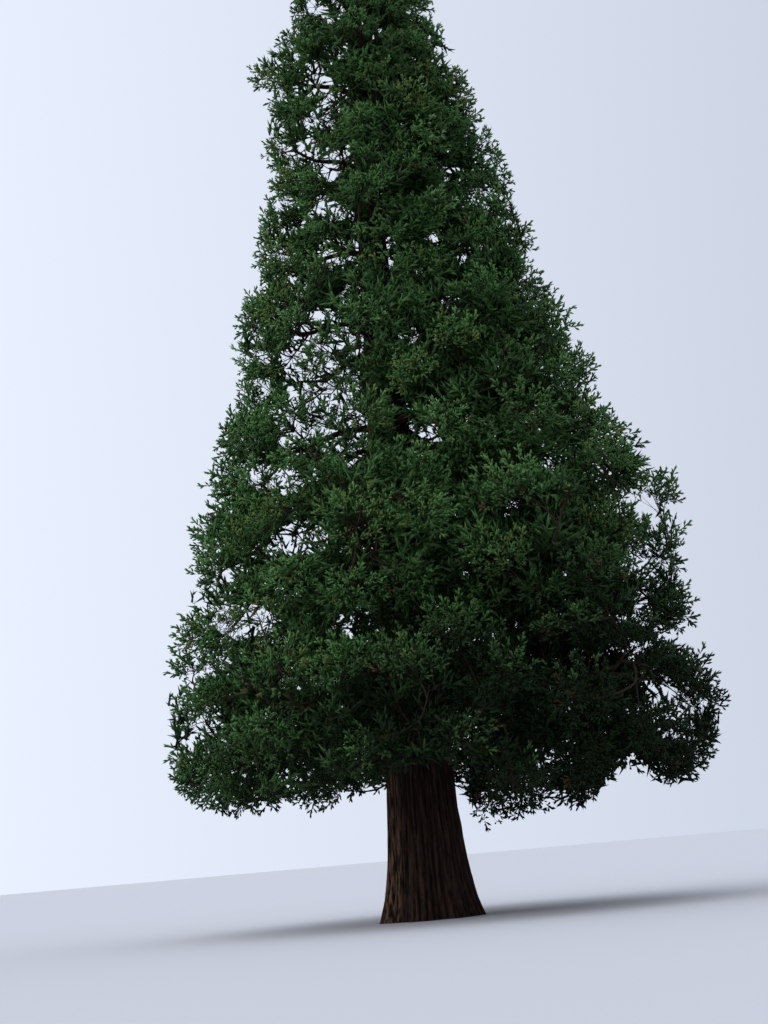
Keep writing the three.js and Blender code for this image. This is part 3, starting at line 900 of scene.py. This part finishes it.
def gap_share(points):
    """The share of the sprays at each point that are left out, so that the sky shows where the picture
    has it. It fades out round the rim of each gap, and uneven cells in it keep their sprays, so that the
    gap is laced."""
    u, v = in_picture(points)
    share = np.zeros(len(points))
    for gap in SKY_GAPS:
        away = ((u - gap.u) / gap.half_width) ** 2 + ((v - gap.v) / gap.half_height) ** 2
        share = np.maximum(share, gap.share * np.clip(GAP_FADE * (GAP_RIM - away), 0, 1))
    columns, rows = (
        np.sin(LACE_CELLS * one + bend * np.sin(rate * other))
        for one, other, (bend, rate) in zip((u, v), (v, u), LACE_BENDS)
    )
    return share * np.clip(LACE_LEVEL + LACE_CONTRAST * (columns * rows), 0, 1)


def grow(index):
    """Grows one mass: clumps, the branches that carry them, twigs that fan out in them, and their sprays.
    In a gap, a shaded spray goes where any part of it would show, and a lit one where its middle would."""
    mass = crown()[index]
    rng = np.random.default_rng(GROWTH_SEED + GROWTH_SEED_STEP * index)
    clumps = clumps_of(mass, rng)
    paths, radii = branches_of(mass, clumps, rng)
    moods = rng.normal(0, MOOD_CHANCE, len(paths))
    starts, ends, owners = twigs_of(mass, clumps, paths, rng)
    luck = rng.random(len(ends))
    roots, directions, lengths, twigs = sprays_on(mass, clumps, starts, ends, owners, rng)
    tips = roots + directions * lengths[:, None]
    rows = owners[twigs]
    shaded = clumps.inner[rows]
    gaps = gap_share(lerp(roots, tips, 0.5))
    widest = np.max([gaps, gap_share(roots), gap_share(tips)], axis=0)
    keep = in_reach(mass, tips, shaded) & (luck[twigs] >= np.where(shaded, widest, gaps))
    lengths = lengths * np.where(gaps > LACED_FROM, LACE_SIZE, 1.0)
    tones = tones_of(clumps, rows, roots, moods, rng)
    olive = OLIVE_SHARE * rng.random(len(paths))[rows] ** OLIVE_POWER
    sprays = Sprays(*(column[keep] for column in (roots, directions, lengths, tones, olive, shaded)))
    carrying = np.unique(twigs[keep])
    return Growth(paths, radii, starts[carrying], ends[carrying], sprays)


@lru_cache(maxsize=1)
def growths():
    return [grow(i) for i in range(len(crown()))]


def grown_in(storey):
    """The masses of one storey, each with what grows in it."""
    return [(mass, growth) for mass, growth in zip(crown(), growths()) if mass.storey is storey]


# Meshes


def mesh_object(name, vertices, triangles, materials, indices=None):
    """A new object from arrays of vertices and triangles, with a material index for each triangle."""
    mesh = bpy.data.meshes.new(name)
    mesh.vertices.add(len(vertices))
    mesh.vertices.foreach_set("co", np.ascontiguousarray(vertices, np.float32).ravel())
    mesh.loops.add(3 * len(triangles))
    mesh.loops.foreach_set("vertex_index", np.ascontiguousarray(triangles, np.int32).ravel())
    mesh.polygons.add(len(triangles))
    mesh.polygons.foreach_set("loop_start", np.arange(0, 3 * len(triangles), 3, dtype=np.int32))
    for material in materials:
        mesh.materials.append(material)
    if indices is not None:
        mesh.polygons.foreach_set("material_index", np.ascontiguousarray(indices, np.int32))
    mesh.update(calc_edges=True)
    piece = bpy.data.objects.new(name, mesh)
    bpy.context.scene.collection.objects.link(piece)
    return piece


def finish_piece(piece, nodes):
    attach(piece, "root")
    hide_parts(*nodes)


def deselect():
    bpy.ops.object.select_all(action="DESELECT")


def select_only(mesh, kind, chosen):
    """Selects the chosen edges or vertices of a mesh, and nothing else, for the next edit."""
    for each in ("polygons", "vertices", "edges"):
        parts = getattr(mesh, each)
        parts.foreach_set("select", chosen if each == kind else np.zeros(len(parts), bool))


def take_new(name):
    """The primitive that was just added, named, and with its place moved into its mesh."""
    piece = bpy.context.object
    piece.name = name
    bpy.ops.object.transform_apply(location=True, rotation=True, scale=True)
    return piece


def upright_tube(name, sides, cuts):
    """A closed tube of radius 1 from 0 to 1 up, with that many sides, cut across as many times as each of
    cuts says, one after the other."""
    deselect()
    bpy.ops.mesh.primitive_cylinder_add(
        vertices=sides, radius=1, depth=1, location=(0, 0, 0.5), end_fill_type="TRIFAN"
    )
    tube = take_new(name)
    bpy.ops.object.mode_set(mode="EDIT")
    bpy.ops.mesh.select_mode(type="EDGE")
    for count in cuts:
        bpy.ops.object.mode_set(mode="OBJECT")
        places = positions_of(tube)
        pairs = np.empty(2 * len(tube.data.edges), np.int32)
        tube.data.edges.foreach_get("vertices", pairs)
        rise = np.abs(np.subtract(*places[pairs.reshape(-1, 2), 2].T))
        select_only(tube.data, "edges", rise > LEVEL)
        bpy.ops.object.mode_set(mode="EDIT")
        bpy.ops.mesh.subdivide(number_cuts=count)
    bpy.ops.object.mode_set(mode="OBJECT")
    return tube


def positions_of(piece):
    places = np.empty(3 * len(piece.data.vertices), np.float32)
    piece.data.vertices.foreach_get("co", places)
    return places.reshape(-1, 3).astype(float)


def set_positions(piece, places):
    piece.data.vertices.foreach_set("co", np.ascontiguousarray(places, np.float32).ravel())
    piece.data.update()


def take_template(piece):
    """A modelled piece's vertices and its faces as triangles, after which the piece itself is removed."""
    piece.data.calc_loop_triangles()
    corners = np.empty(3 * len(piece.data.loop_triangles), np.int32)
    piece.data.loop_triangles.foreach_get("vertices", corners)
    places = positions_of(piece)
    bpy.data.objects.remove(piece)
    return places, corners.reshape(-1, 3)


def set_number(piece, name, values):
    """Keeps a number for each vertex, which the piece's material reads."""
    attribute = piece.data.attributes.new(name, "FLOAT", "POINT")
    attribute.data.foreach_set("value", np.ascontiguousarray(values, np.float32))


def join_arrays(parts):
    """Several (vertices, triangles) pairs as one."""
    offsets = np.cumsum([0] + [len(vertices) for vertices, _ in parts[:-1]])
    triangles = [faces + offset for (_, faces), offset in zip(parts, offsets)]
    return np.concatenate([vertices for vertices, _ in parts]), np.concatenate(triangles)


def ring_of(side, above, sides):
    """Directions evenly round each limb, from one to its side and one above it."""
    turn = np.arange(sides) * math.tau / sides
    return side[..., None, :] * np.cos(turn)[:, None] + above[..., None, :] * np.sin(turn)[:, None]


# Bark


def noise_at(angle, run, rate, shift):
    """Smooth noise round a limb and along it. It changes at the rate along the limb, and the shift keeps one
    noise apart from another."""
    x, y = NOISE_RADIUS * np.cos(angle), NOISE_RADIUS * np.sin(angle)
    places = np.stack([x + shift, y + shift, rate * run + shift], axis=1)
    return np.array([noise.noise(Vector(place)) for place in places])


def bark_relief(angle, run, ridges, rate):
    """From 0 in the furrows of stringy bark to 1 on its ridges. Two sets of ridges run along the limb, wander
    and fade into each other, so that ridges part and join, and fine strings lie on them."""
    broad, close = RIDGE_WANDER
    wander = broad * noise_at(angle, run, rate, 3.1) + close * noise_at(3 * angle, run, 3 * rate, 11.3)
    coarse_set = np.abs(np.sin((ridges * angle + wander) / 2))
    close_set = np.abs(np.sin((math.ceil(CLOSE_RIDGES * ridges) * angle - CLOSE_WANDER * wander) / 2))
    blend = np.clip(0.5 + RIDGE_BLEND * noise_at(2 * angle, run, 2 * rate, 17.7), 0, 1)
    strings = np.abs(noise_at(9 * angle, run, 4 * rate, 31.9))
    return np.clip(np.sqrt(lerp(coarse_set, close_set, blend)) - STRING_DEPTH * strings, 0, 1)


def near_angle(angle, middle, width):
    """1 at an azimuth, fading on both sides of it over a width. The azimuth and the width are in degrees, and
    the angles that are asked for in radians."""
    away = np.angle(np.exp(1j * (angle - math.radians(middle))))
    return np.exp(-((away / math.radians(width)) ** 2))


def bend_tube(template, path, radii):
    """The vertices of an upright tube laid along a path, with its radii at evenly spaced places along it."""
    along = template[:, 2]
    share = np.linspace(0, 1, len(path))
    middle = np.stack([np.interp(along, share, path[:, axis]) for axis in range(3)], axis=1)
    tangent = np.gradient(path, axis=0)
    tangent = unit(np.stack([np.interp(along, share, tangent[:, axis]) for axis in range(3)], axis=1))
    side = unit(np.cross(UP, tangent) + NUDGE)
    above = np.cross(tangent, side)
    radius = np.interp(along, share, radii)[:, None]
    return middle + (side * template[:, :1] + above * template[:, 1:2]) * radius


def limb_shape(mass, template):
    """The vertices and the relief of one mass's limb, which starts just inside the trunk's bark."""
    path = mass.limb_path()
    inside = np.hypot(path[:, 0], path[:, 1]) < trunk_radius(path[:, 2]) - LIMB_SINK
    path = path[int(np.argmin(inside)) :]
    directions, distance = polar(path, mass.centre)
    in_core = distance < mass.core(directions)
    entry = max(LEAST_ENTRY, float(np.argmax(in_core)) / len(path))
    share = np.linspace(0, 1, len(path))
    if mass.storey.bough:
        root, middle = BOUGH_ROOT_RADIUS, BOUGH_TIP_RADIUS
    else:
        least, depth = HIDDEN_ROOT
        root = BOUGH_TIP_RADIUS * (least + mass.depth / depth)
        middle = lerp(root, STEM_TIP_RADIUS, entry)
    radii = np.interp(share, [0, entry, 1], [root, middle, STEM_TIP_RADIUS])
    swell, fade = COLLAR
    radii = radii * (1 + swell * np.exp(-share * fade))
    run = template[:, 2] * np.linalg.norm(path[-1] - path[0]) + LIMB_SHIFT * mass.centre[2]
    relief = bark_relief(np.arctan2(template[:, 1], template[:, 0]), run, *LIMB_RIDGES)
    sunk = 1 - LIMB_FURROW * (1 - relief[:, None]) * np.array([1, 1, 0])
    return bend_tube(template * sunk, path, radii), relief


# Branches, twigs and needles


def branch_tubes(paths, radii):
    """Closed tapering tubes along many paths at once."""
    count, steps = radii.shape
    tangent = unit(np.gradient(paths, axis=1))
    side = unit(np.cross(paths[:, -1] - paths[:, 0] + TINY, UP))[:, None]
    side = unit(side - tangent * (side * tangent).sum(-1, keepdims=True))
    ring = ring_of(side, np.cross(tangent, side), BRANCH_SIDES)
    vertices = (paths[:, :, None] + ring * radii[:, :, None, None]).reshape(-1, 3)
    faces = []
    for step in range(steps - 1):
        for k in range(BRANCH_SIDES):
            a, b = step * BRANCH_SIDES + k, step * BRANCH_SIDES + (k + 1) % BRANCH_SIDES
            faces += [(a, b, b + BRANCH_SIDES), (a, b + BRANCH_SIDES, a + BRANCH_SIDES)]
    last = (steps - 1) * BRANCH_SIDES
    for k in range(1, BRANCH_SIDES - 1):
        faces += [(0, k + 1, k), (last, last + k, last + k + 1)]
    starts = np.arange(count)[:, None, None] * steps * BRANCH_SIDES
    return vertices, (np.array(faces)[None] + starts).reshape(-1, 3)


def twig_cones(starts, ends):
    """Slim closed cones with three sides, from each twig's start to its end. Each is turned by a direction
    that no twig is likely to run along."""
    run = unit(ends - starts)
    side = unit(np.cross(run, [0.31, 0.17, 0.93]))
    base = starts[:, None] + ring_of(side, np.cross(run, side), TWIG_SIDES) * TWIG_RADIUS
    vertices = np.concatenate([base, ends[:, None]], axis=1).reshape(-1, 3)
    faces = np.array([(0, 1, 3), (1, 2, 3), (2, 0, 3), (0, 2, 1)])
    return vertices, (faces[None] + 4 * np.arange(len(starts))[:, None, None]).reshape(-1, 3)


def pointed_branchlet(name, waist, fill):
    """A cone with three sides, from a radius of 1 at its waist to its point at 1 up."""
    deselect()
    middle = (0, 0, (1 + waist) / 2)
    bpy.ops.mesh.primitive_cone_add(
        vertices=3, radius1=1, radius2=0, depth=1 - waist, end_fill_type=fill, location=middle
    )
    return take_new(name)


def model_cord():
    """One branchlet clad in needles, 1 long from its root at the origin to its tip on +Z: a spindle of radius
    1 with three sides, thickest near its blunt tip. Its root is drawn out of the middle of a cone's base."""
    cord = pointed_branchlet("needle_cord", CORD_WAIST, "TRIFAN")
    bpy.ops.object.mode_set(mode="EDIT")
    bpy.ops.mesh.select_mode(type="VERT")
    bpy.ops.object.mode_set(mode="OBJECT")
    places = positions_of(cord)
    on_axis = np.hypot(places[:, 0], places[:, 1]) < 0.5
    select_only(cord.data, "vertices", on_axis & (places[:, 2] < lerp(CORD_WAIST, 1, 0.5)))
    bpy.ops.object.mode_set(mode="EDIT")
    bpy.ops.transform.translate(value=(0, 0, -CORD_WAIST))
    bpy.ops.object.mode_set(mode="OBJECT")
    return cord


def model_spike():
    """A plainer branchlet for the shade inside the crown, 1 long and thickest at its root."""
    return pointed_branchlet("needle_spike", 0, "NGON")


def spray_of(branchlet, side_count, thickness):
    """One spray of needles, 1 long from its root at the origin to its tip on +Z: a branchlet, and shorter
    ones that leave it all round, longest near the root, and point on upwards."""
    vertices, triangles = branchlet
    parts = [(vertices * [thickness, thickness, 1], triangles)]
    for i in range(side_count):
        share = i / (side_count - 1)
        aside = Matrix.Rotation(math.radians(lerp(*SIDE_ANGLES, share)), 3, "Y")
        turned = Matrix.Rotation(i * GOLDEN_ANGLE, 3, "Z") @ aside
        shape = vertices * [thickness, thickness, lerp(*SIDE_LENGTHS, share)] @ np.array(turned).T
        parts.append((shape + UP * lerp(*SIDE_PLACES, share), triangles))
    return join_arrays(parts)


def set_sprays(sprays, chosen, shape, faces, rng):
    """Copies of a modelled spray at every chosen place, each turned about its own axis by a random angle."""
    up = sprays.directions[chosen]
    side = unit(np.cross(up, rng.normal(size=up.shape)))
    turned = np.stack([side, np.cross(up, side), up], axis=1)
    placed = shape[None] * sprays.lengths[chosen][:, None, None]
    vertices = np.einsum("nvk,nkj->nvj", placed, turned) + sprays.roots[chosen][:, None]
    triangles = faces[None] + (np.arange(len(up)) * len(shape))[:, None, None]
    return vertices.reshape(-1, 3), triangles.reshape(-1, 3)


def colour_classes(sprays, rng):
    """The colour of each spray by its tone, from painted deep shade to the painted light of the brightest
    tips, with some of the outer ones olive and a few brown."""
    classes = np.digitize(sprays.tones, TONES)
    odd = rng.random(len(classes))
    olive = (odd < sprays.olive) & (classes >= FIRST_OLIVE) & ~sprays.inner
    classes[olive] = NEEDLE_COLOURS.index("olive")
    classes[(odd > 1 - BROWN_SHARE) & ~sprays.inner] = NEEDLE_COLOURS.index("brown")
    return classes


# Shader maths


class Socket:
    """A shader socket whose arithmetic adds Math nodes."""

    def __init__(self, shader, socket):
        self.shader, self.socket = shader, socket

    def math(self, operation, *others):
        return self.shader.node("ShaderNodeMath", {"operation": operation}, dict(enumerate(others)))

    def __add__(self, other):
        return self.math("ADD", self, other)

    def __mul__(self, other):
        return self.math("MULTIPLY", self, other)

    def __sub__(self, other):
        return self.math("SUBTRACT", self, other)

    def __rsub__(self, other):
        return self.math("SUBTRACT", other, self)

    __radd__ = __add__
    __rmul__ = __mul__


class Shader:
    """The nodes of a material or of the sky, made by one method and joined by plain expressions."""

    def __init__(self, owner, surface, **constants):
        owner.use_nodes = True
        self.tree = owner.node_tree
        self.surface = self.tree.nodes[surface]
        self.feed(**constants)

    def node(self, kind, settings=None, values=None, output=0):
        """A node of that kind: its settings first, then the values or links of its sockets."""
        made = self.tree.nodes.new(kind)
        for name, value in (settings or {}).items():
            if name == "stops":
                self.set_stops(made.color_ramp, value)
            else:
                setattr(made, name, value)
        for socket, value in (values or {}).items():
            self.join(value, made.inputs[socket])
        return Socket(self, made.outputs[output])

    def join(self, value, socket):
        if isinstance(value, Socket):
            self.tree.links.new(value.socket, socket)
        else:
            socket.default_value = value

    def set_stops(self, ramp, stops):
        while len(ramp.elements) < len(stops):
            ramp.elements.new(0.5)
        for element, (place, colour) in zip(ramp.elements, stops):
            element.position, element.color = place, colour

    def feed(self, **links):
        for socket, value in links.items():
            self.join(value, self.surface.inputs[socket.replace("_", " ")])


def bark_material(name, ridge, furrow, pale, stretch):
    """Stringy bark: its colour follows the relief and the rib that the mesh carries, with painted shade in
    the furrows and painted light in pale strips on the rib, and fine fibres run along Object Z."""
    material = bpy.data.materials.new(name)
    shader = Shader(material, "Principled BSDF", Roughness=0.95, Specular_IOR_Level=0.12)
    places = shader.node("ShaderNodeTexCoord", output="Object")
    run = shader.node("ShaderNodeMapping", values={"Vector": places, "Scale": (1, 1, stretch)})
    strip = shader.node("ShaderNodeTexNoise", values={"Vector": run, "Scale": 15.0, "Detail": 2.0})
    fibre = shader.node("ShaderNodeTexNoise", values={"Vector": run, "Scale": 42.0, "Detail": 5.0})
    relief = shader.node("ShaderNodeAttribute", {"attribute_name": "relief"}, output="Fac")
    relief_show, strip_show, fibre_show = BARK_SHOW
    # The relief darkens the colour into the furrows as painted shade; the strips and fibres are the bark's
    # own pattern
    height = relief * relief_show + strip * strip_show + fibre * fibre_show - BARK_BIAS
    middle = lerp(np.array(furrow), np.array(ridge), 0.4)
    ramp = [(0.1, (*furrow, 1)), (0.55, (*middle, 1)), (0.9, (*ridge, 1))]
    colour = shader.node("ShaderNodeValToRGB", {"stops": ramp}, {"Fac": height})
    # Pale strips on the ridges: real wear all over, and painted light on the rib at the trunk's foot
    ramp = [(0.42, (0, 0, 0, 1)), (0.56, (1, 1, 1, 1))]
    worn_and_lit = shader.node("ShaderNodeValToRGB", {"stops": ramp}, {"Fac": strip})
    rib = shader.node("ShaderNodeAttribute", {"attribute_name": "rib"}, output="Fac")
    wear, rib_light = BARK_WEAR_AND_LIGHT
    # A Mix node takes its colours at sockets 6 and 7 and gives the mixed one at 2
    sockets = {"Factor": worn_and_lit * relief * (rib * rib_light + wear), 6: colour, 7: (*pale, 1)}
    mixed = shader.node("ShaderNodeMix", {"data_type": "RGBA"}, sockets, output=2)
    rough = strip + fibre * FIBRE_ROUGHNESS
    bump = shader.node("ShaderNodeBump", values={"Strength": 0.7, "Distance": 0.04, "Height": rough})
    shader.feed(Base_Color=mixed, Normal=bump)
    return material


def plain_material(name, colour, roughness, gloss=0.06):
    material = bpy.data.materials.new(name)
    look = {"Base_Color": (*colour, 1), "Roughness": roughness, "Specular_IOR_Level": gloss}
    Shader(material, "Principled BSDF", **look)
    return material


# Settings


def colour_property(name, description, default):
    return bpy.props.FloatVectorProperty(
        name=name, description=description, default=default, subtype="COLOR", size=3, min=0, max=1
    )


class BarkSettings(bpy.types.PropertyGroup):
    ridge: colour_property("Ridges", "Colour of the bark's ridges", (0.026, 0.0135, 0.009))
    # The furrows' much darker colour is painted shade, which the relief deals out
    furrow: colour_property("Furrows", "Colour deep in the bark's furrows", (0.005, 0.0025, 0.0018))
    # The pale colour is real wear on the ridges all over, and painted light on the rib that faces the light
    pale: colour_property("Pale", "Colour of the bark where it is worn", (0.15, 0.088, 0.052))
    branch: colour_property("Branches", "Colour of the branches", (0.03, 0.02, 0.013))
    twig: colour_property("Twigs", "Colour of young twigs", (0.024, 0.019, 0.011))
    depth: bpy.props.FloatProperty(
        name="Furrow Depth",
        description="Depth of the furrows in the bark at the foot of the trunk",
        default=0.07,
        min=0,
        unit="LENGTH",
    )


class NeedleSettings(bpy.types.PropertyGroup):
    # Tips, well lit, green, dark, shade, deep and gloom are lit and shaded copies of one green: painted light
    # in the lighter ones and painted shade in the darker ones, the duller sprays and the inner ones among
    # them
    tip: colour_property("Tips", "Colour of the brightest sprays", (0.2, 0.3, 0.15))
    well_lit: colour_property("Fresh", "Colour of well lit sprays", (0.112, 0.205, 0.074))
    green: colour_property("Green", "Colour of most sprays", (0.074, 0.162, 0.046))
    dark: colour_property("Dark", "Colour of duller sprays", (0.054, 0.127, 0.035))
    shade: colour_property("Shade", "Colour of shaded sprays", (0.038, 0.09, 0.025))
    deep: colour_property("Deep", "Colour of the inner sprays", (0.03, 0.063, 0.02))
    gloom: colour_property("Gloom", "Colour of the sprays in the deepest shade", (0.01, 0.021, 0.007))
    olive: colour_property("Olive", "Colour of the olive sprays", (0.085, 0.13, 0.034))
    brown: colour_property("Brown", "Colour of the few dying sprays", (0.075, 0.048, 0.022))


class StageSettings(bpy.types.PropertyGroup):
    floor: colour_property("Floor", "Colour of the floor", (0.42, 0.42, 0.43))
    sky: colour_property("Sky", "Colour of the soft light all round", (0.72, 0.775, 0.9))
    overhead: bpy.props.FloatProperty(
        name="Overhead",
        description="How much brighter the light is overhead than at eye level",
        default=2.4,
        min=1,
    )
    slope: bpy.props.FloatProperty(
        name="Slope", description="How fast the light gets brighter to the left", default=0.7, min=0, max=1
    )
    radius: bpy.props.FloatProperty(
        name="Floor Radius", description="Radius of the round floor", default=600.0, min=1, unit="LENGTH"
    )


def bark_for(name, settings):
    """The trunk's or the limbs' bark, made once."""
    colours = settings.ridge[:], settings.furrow[:], settings.pale[:]
    return bpy.data.materials.get(name) or bark_material(name, *colours, BARK_STRETCH[name])


def needle_materials(settings):
    return [plain_material(f"needles_{name}", getattr(settings, name)[:], 0.6) for name in NEEDLE_COLOURS]


# Operators


class SEQUOIA_OT_trunk(bpy.types.Operator):
    """Make the trunk, with its flared foot and the relief of its bark"""

    bl_idname = "sequoia.trunk"
    bl_label = "Trunk"

    def execute(self, context):
        settings = context.scene.sequoia_bark
        trunk = upright_tube("trunk_with_bark", *TRUNK_MESH)
        places = positions_of(trunk)
        angle = np.arctan2(places[:, 1], places[:, 0])
        on_axis = np.hypot(places[:, 0], places[:, 1]) < 0.5
        height = TREE_HEIGHT * places[:, 2] ** RING_CROWDING
        radius = np.maximum(TRUNK_TIP_RADIUS, trunk_radius(height)) * flutes(angle, height)
        round_it = np.stack([np.cos(angle), np.sin(angle), np.zeros(len(angle))], axis=1)
        relief = bark_relief(angle, height, *TRUNK_RIDGES)
        # How near each vertex is to the rib that gets painted light
        rib = near_angle(angle, RIB_AZIMUTH, RIB_WIDTH)
        cleft = near_angle(angle, CLEFT_AZIMUTH, CLEFT_WIDTH) * np.exp(-height / FLUTE_HEIGHT)
        sunk = settings.depth * np.clip(radius, *FURROW_RANGE) * (1 - relief) + CLEFT_DEPTH * cleft
        radius = np.where(on_axis, 0, radius * RIDGE_RADIUS - sunk)
        set_positions(trunk, round_it * radius[:, None] + UP * height[:, None])
        # In the cleft, the relief that the colour reads is lowered, as painted shade
        set_number(trunk, "relief", relief * (1 - CLEFT_SHADE * cleft))
        set_number(trunk, "rib", rib)
        trunk.data.materials.append(bark_for("trunk_bark", settings))
        deselect()
        trunk.select_set(True)
        bpy.ops.object.shade_smooth_by_angle(angle=math.radians(CREASE_ANGLE))
        finish_piece(trunk, ["trunk"])
        return {"FINISHED"}


class SEQUOIA_OT_limbs(bpy.types.Operator):
    """Make each mass's limb, from the trunk to the tip of its stem"""

    bl_idname = "sequoia.limbs"
    bl_label = "Boughs"

    def execute(self, context):
        template, triangles = take_template(upright_tube("limb_template", *LIMB_MESH))
        bark = bark_for("limb_bark", context.scene.sequoia_bark)
        for storey in STOREYS:
            masses = [mass for mass in crown() if mass.storey is storey]
            kind = "bough" if storey.bough else "foliage"
            for group in [[mass] for mass in masses] if storey.bough else [masses]:
                shapes, reliefs = zip(*(limb_shape(mass, template) for mass in group))
                vertices, joined = join_arrays([(shape, triangles) for shape in shapes])
                name = f"limb_{group[0].name}" if storey.bough else f"limbs_{storey.name}"
                limb = mesh_object(name, vertices, joined, [bark])
                set_number(limb, "relief", np.concatenate(reliefs))
                limb.data.polygons.foreach_set("use_smooth", np.ones(len(joined), bool))
                finish_piece(limb, [f"{kind}_{mass.name}" for mass in group])
        return {"FINISHED"}


class SEQUOIA_OT_twigs(bpy.types.Operator):
    """Grow the branches and twigs of every mass, joined storey by storey"""

    bl_idname = "sequoia.twigs"
    bl_label = "Branches and Twigs"

    def execute(self, context):
        settings = context.scene.sequoia_bark
        materials = [
            plain_material("branch_bark", settings.branch[:], roughness=0.9),
            plain_material("twig_bark", settings.twig[:], roughness=0.85),
        ]
        for storey in STOREYS:
            rows = grown_in(storey)
            branches = [branch_tubes(growth.branch_paths, growth.branch_radii) for _, growth in rows]
            twigs = [twig_cones(growth.twig_starts, growth.twig_ends) for _, growth in rows]
            vertices, triangles = join_arrays(branches + twigs)
            on_branches = sum(len(faces) for _, faces in branches)
            kinds = (np.arange(len(triangles)) >= on_branches).astype(int)
            piece = mesh_object(f"twigs_{storey.name}", vertices, triangles, materials, kinds)
            finish_piece(piece, [f"foliage_{mass.name}" for mass, _ in rows])
        return {"FINISHED"}


class SEQUOIA_OT_needles(bpy.types.Operator):
    """Set the sprays of needles on the twigs, joined in a few pieces for each storey"""

    bl_idname = "sequoia.needles"
    bl_label = "Needles"

    def execute(self, context):
        materials = needle_materials(context.scene.sequoia_needles)
        templates = [
            spray_of(take_template(model_cord()), *OUTER_SPRAY),
            spray_of(take_template(model_spike()), *INNER_SPRAY),
        ]
        for level, storey in enumerate(STOREYS):
            rows = grown_in(storey)
            for first in range(0, len(rows), MASSES_PER_PIECE):
                group = rows[first : first + MASSES_PER_PIECE]
                rng = np.random.default_rng(NEEDLE_SEED + first + NEEDLE_SEED_STEP * level)
                parts, kinds = [], []
                for _, growth in group:
                    classes = colour_classes(growth.sprays, rng)
                    for inner, (shape, faces) in enumerate(templates):
                        chosen = growth.sprays.inner == bool(inner)
                        parts.append(set_sprays(growth.sprays, chosen, shape, faces, rng))
                        kinds.append(np.repeat(classes[chosen], len(faces)))
                vertices, triangles = join_arrays(parts)
                name = f"needles_{storey.name}_{'abcd'[first // MASSES_PER_PIECE]}"
                piece = mesh_object(name, vertices, triangles, materials, np.concatenate(kinds))
                finish_piece(piece, [f"foliage_{mass.name}" for mass, _ in group])
        return {"FINISHED"}


class SEQUOIA_OT_stage(bpy.types.Operator):
    """Set the floor, the even light and the camera"""

    bl_idname = "sequoia.stage"
    bl_label = "Stage"

    def execute(self, context):
        settings = context.scene.sequoia_stage
        deselect()
        bpy.ops.mesh.primitive_circle_add(vertices=FLOOR_SIDES, radius=settings.radius, fill_type="NGON")
        floor = context.object
        floor.name = "floor"
        floor.data.materials.append(plain_material("floor_paint", settings.floor[:], roughness=0.9))
        context.scene.world = self.soft_sky(settings)
        context.scene.view_settings.view_transform = "Standard"
        for sun in SUNS:
            self.add_light(sun)
        self.add_camera(context.scene)
        return {"FINISHED"}

    @staticmethod
    def soft_sky(settings):
        """Light from all round that is brighter to -X and overhead."""
        world = bpy.data.worlds.new("soft_sky")
        shader = Shader(world, "Background", Color=(*settings.sky, 1))

        def ramped(value, start, end, low, high):
            span = {"From Min": start, "From Max": end, "To Min": low, "To Max": high}
            return shader.node("ShaderNodeMapRange", values={"Value": value, **span})

        direction = shader.node("ShaderNodeTexCoord", output="Generated")
        across = shader.node("ShaderNodeSeparateXYZ", values={"Vector": direction}, output="X")
        height = shader.node("ShaderNodeSeparateXYZ", values={"Vector": direction}, output="Z")
        slope = SLOPE_BAND * settings.slope
        sideways = ramped(across, -SLOPE_BAND, SLOPE_BAND, 1 + slope, 1 - slope)
        shader.feed(Strength=sideways * ramped(height, OVERHEAD_FROM, 1, 1, settings.overhead))
        return world

    @staticmethod
    def add_light(sun):
        rotation = (math.radians(sun.tip), 0, math.radians(sun.turn))
        bpy.ops.object.light_add(type="SUN", rotation=rotation, location=(0, 0, SUN_HEIGHT))
        light = bpy.context.object
        light.name = sun.name
        light.data.energy = sun.strength
        light.data.angle = math.radians(sun.width)

    @staticmethod
    def add_camera(scene):
        bpy.ops.object.camera_add(location=EYE)
        camera = bpy.context.object
        camera.name = "camera"
        camera.data.sensor_width = SENSOR
        camera.data.lens = FOCAL_PIXELS / PICTURE[1] * SENSOR
        camera.data.clip_end = VIEW_DEPTH
        pitched = Matrix.Rotation(math.pi / 2 + PITCH, 3, "X")
        camera.rotation_euler = (pitched @ Matrix.Rotation(-ROLL, 3, "Z")).to_euler()
        scene.camera = camera


class SEQUOIA_PT_panel(bpy.types.Panel):
    """The steps of the dressing, in order"""

    bl_idname = "SEQUOIA_PT_panel"
    bl_label = "Sequoia"
    bl_space_type = "VIEW_3D"
    bl_region_type = "UI"
    bl_category = "Sequoia"

    def draw(self, context):
        scene = context.scene
        for title, settings, operators in (
            ("Bark", scene.sequoia_bark, ("sequoia.trunk", "sequoia.limbs", "sequoia.twigs")),
            ("Needles", scene.sequoia_needles, ("sequoia.needles",)),
            ("Stage", scene.sequoia_stage, ("sequoia.stage",)),
        ):
            box = self.layout.box()
            box.label(text=title)
            for name in settings.__annotations__:
                box.prop(settings, name)
            for operator in operators:
                box.operator(operator)


SETTINGS = {"sequoia_bark": BarkSettings, "sequoia_needles": NeedleSettings, "sequoia_stage": StageSettings}
CLASSES = (
    *SETTINGS.values(),
    SEQUOIA_OT_trunk,
    SEQUOIA_OT_limbs,
    SEQUOIA_OT_twigs,
    SEQUOIA_OT_needles,
    SEQUOIA_OT_stage,
    SEQUOIA_PT_panel,
)


def register():
    for each in CLASSES:
        bpy.utils.register_class(each)
    for name, group in SETTINGS.items():
        setattr(bpy.types.Scene, name, bpy.props.PointerProperty(type=group))


def unregister():
    for name in SETTINGS:
        delattr(bpy.types.Scene, name)
    for each in reversed(CLASSES):
        bpy.utils.unregister_class(each)


def main():
    register()
    bpy.ops.sequoia.stage()
    bpy.ops.sequoia.trunk()
    bpy.ops.sequoia.limbs()
    bpy.ops.sequoia.twigs()
    bpy.ops.sequoia.needles()


if __name__ == "__main__":
    main()
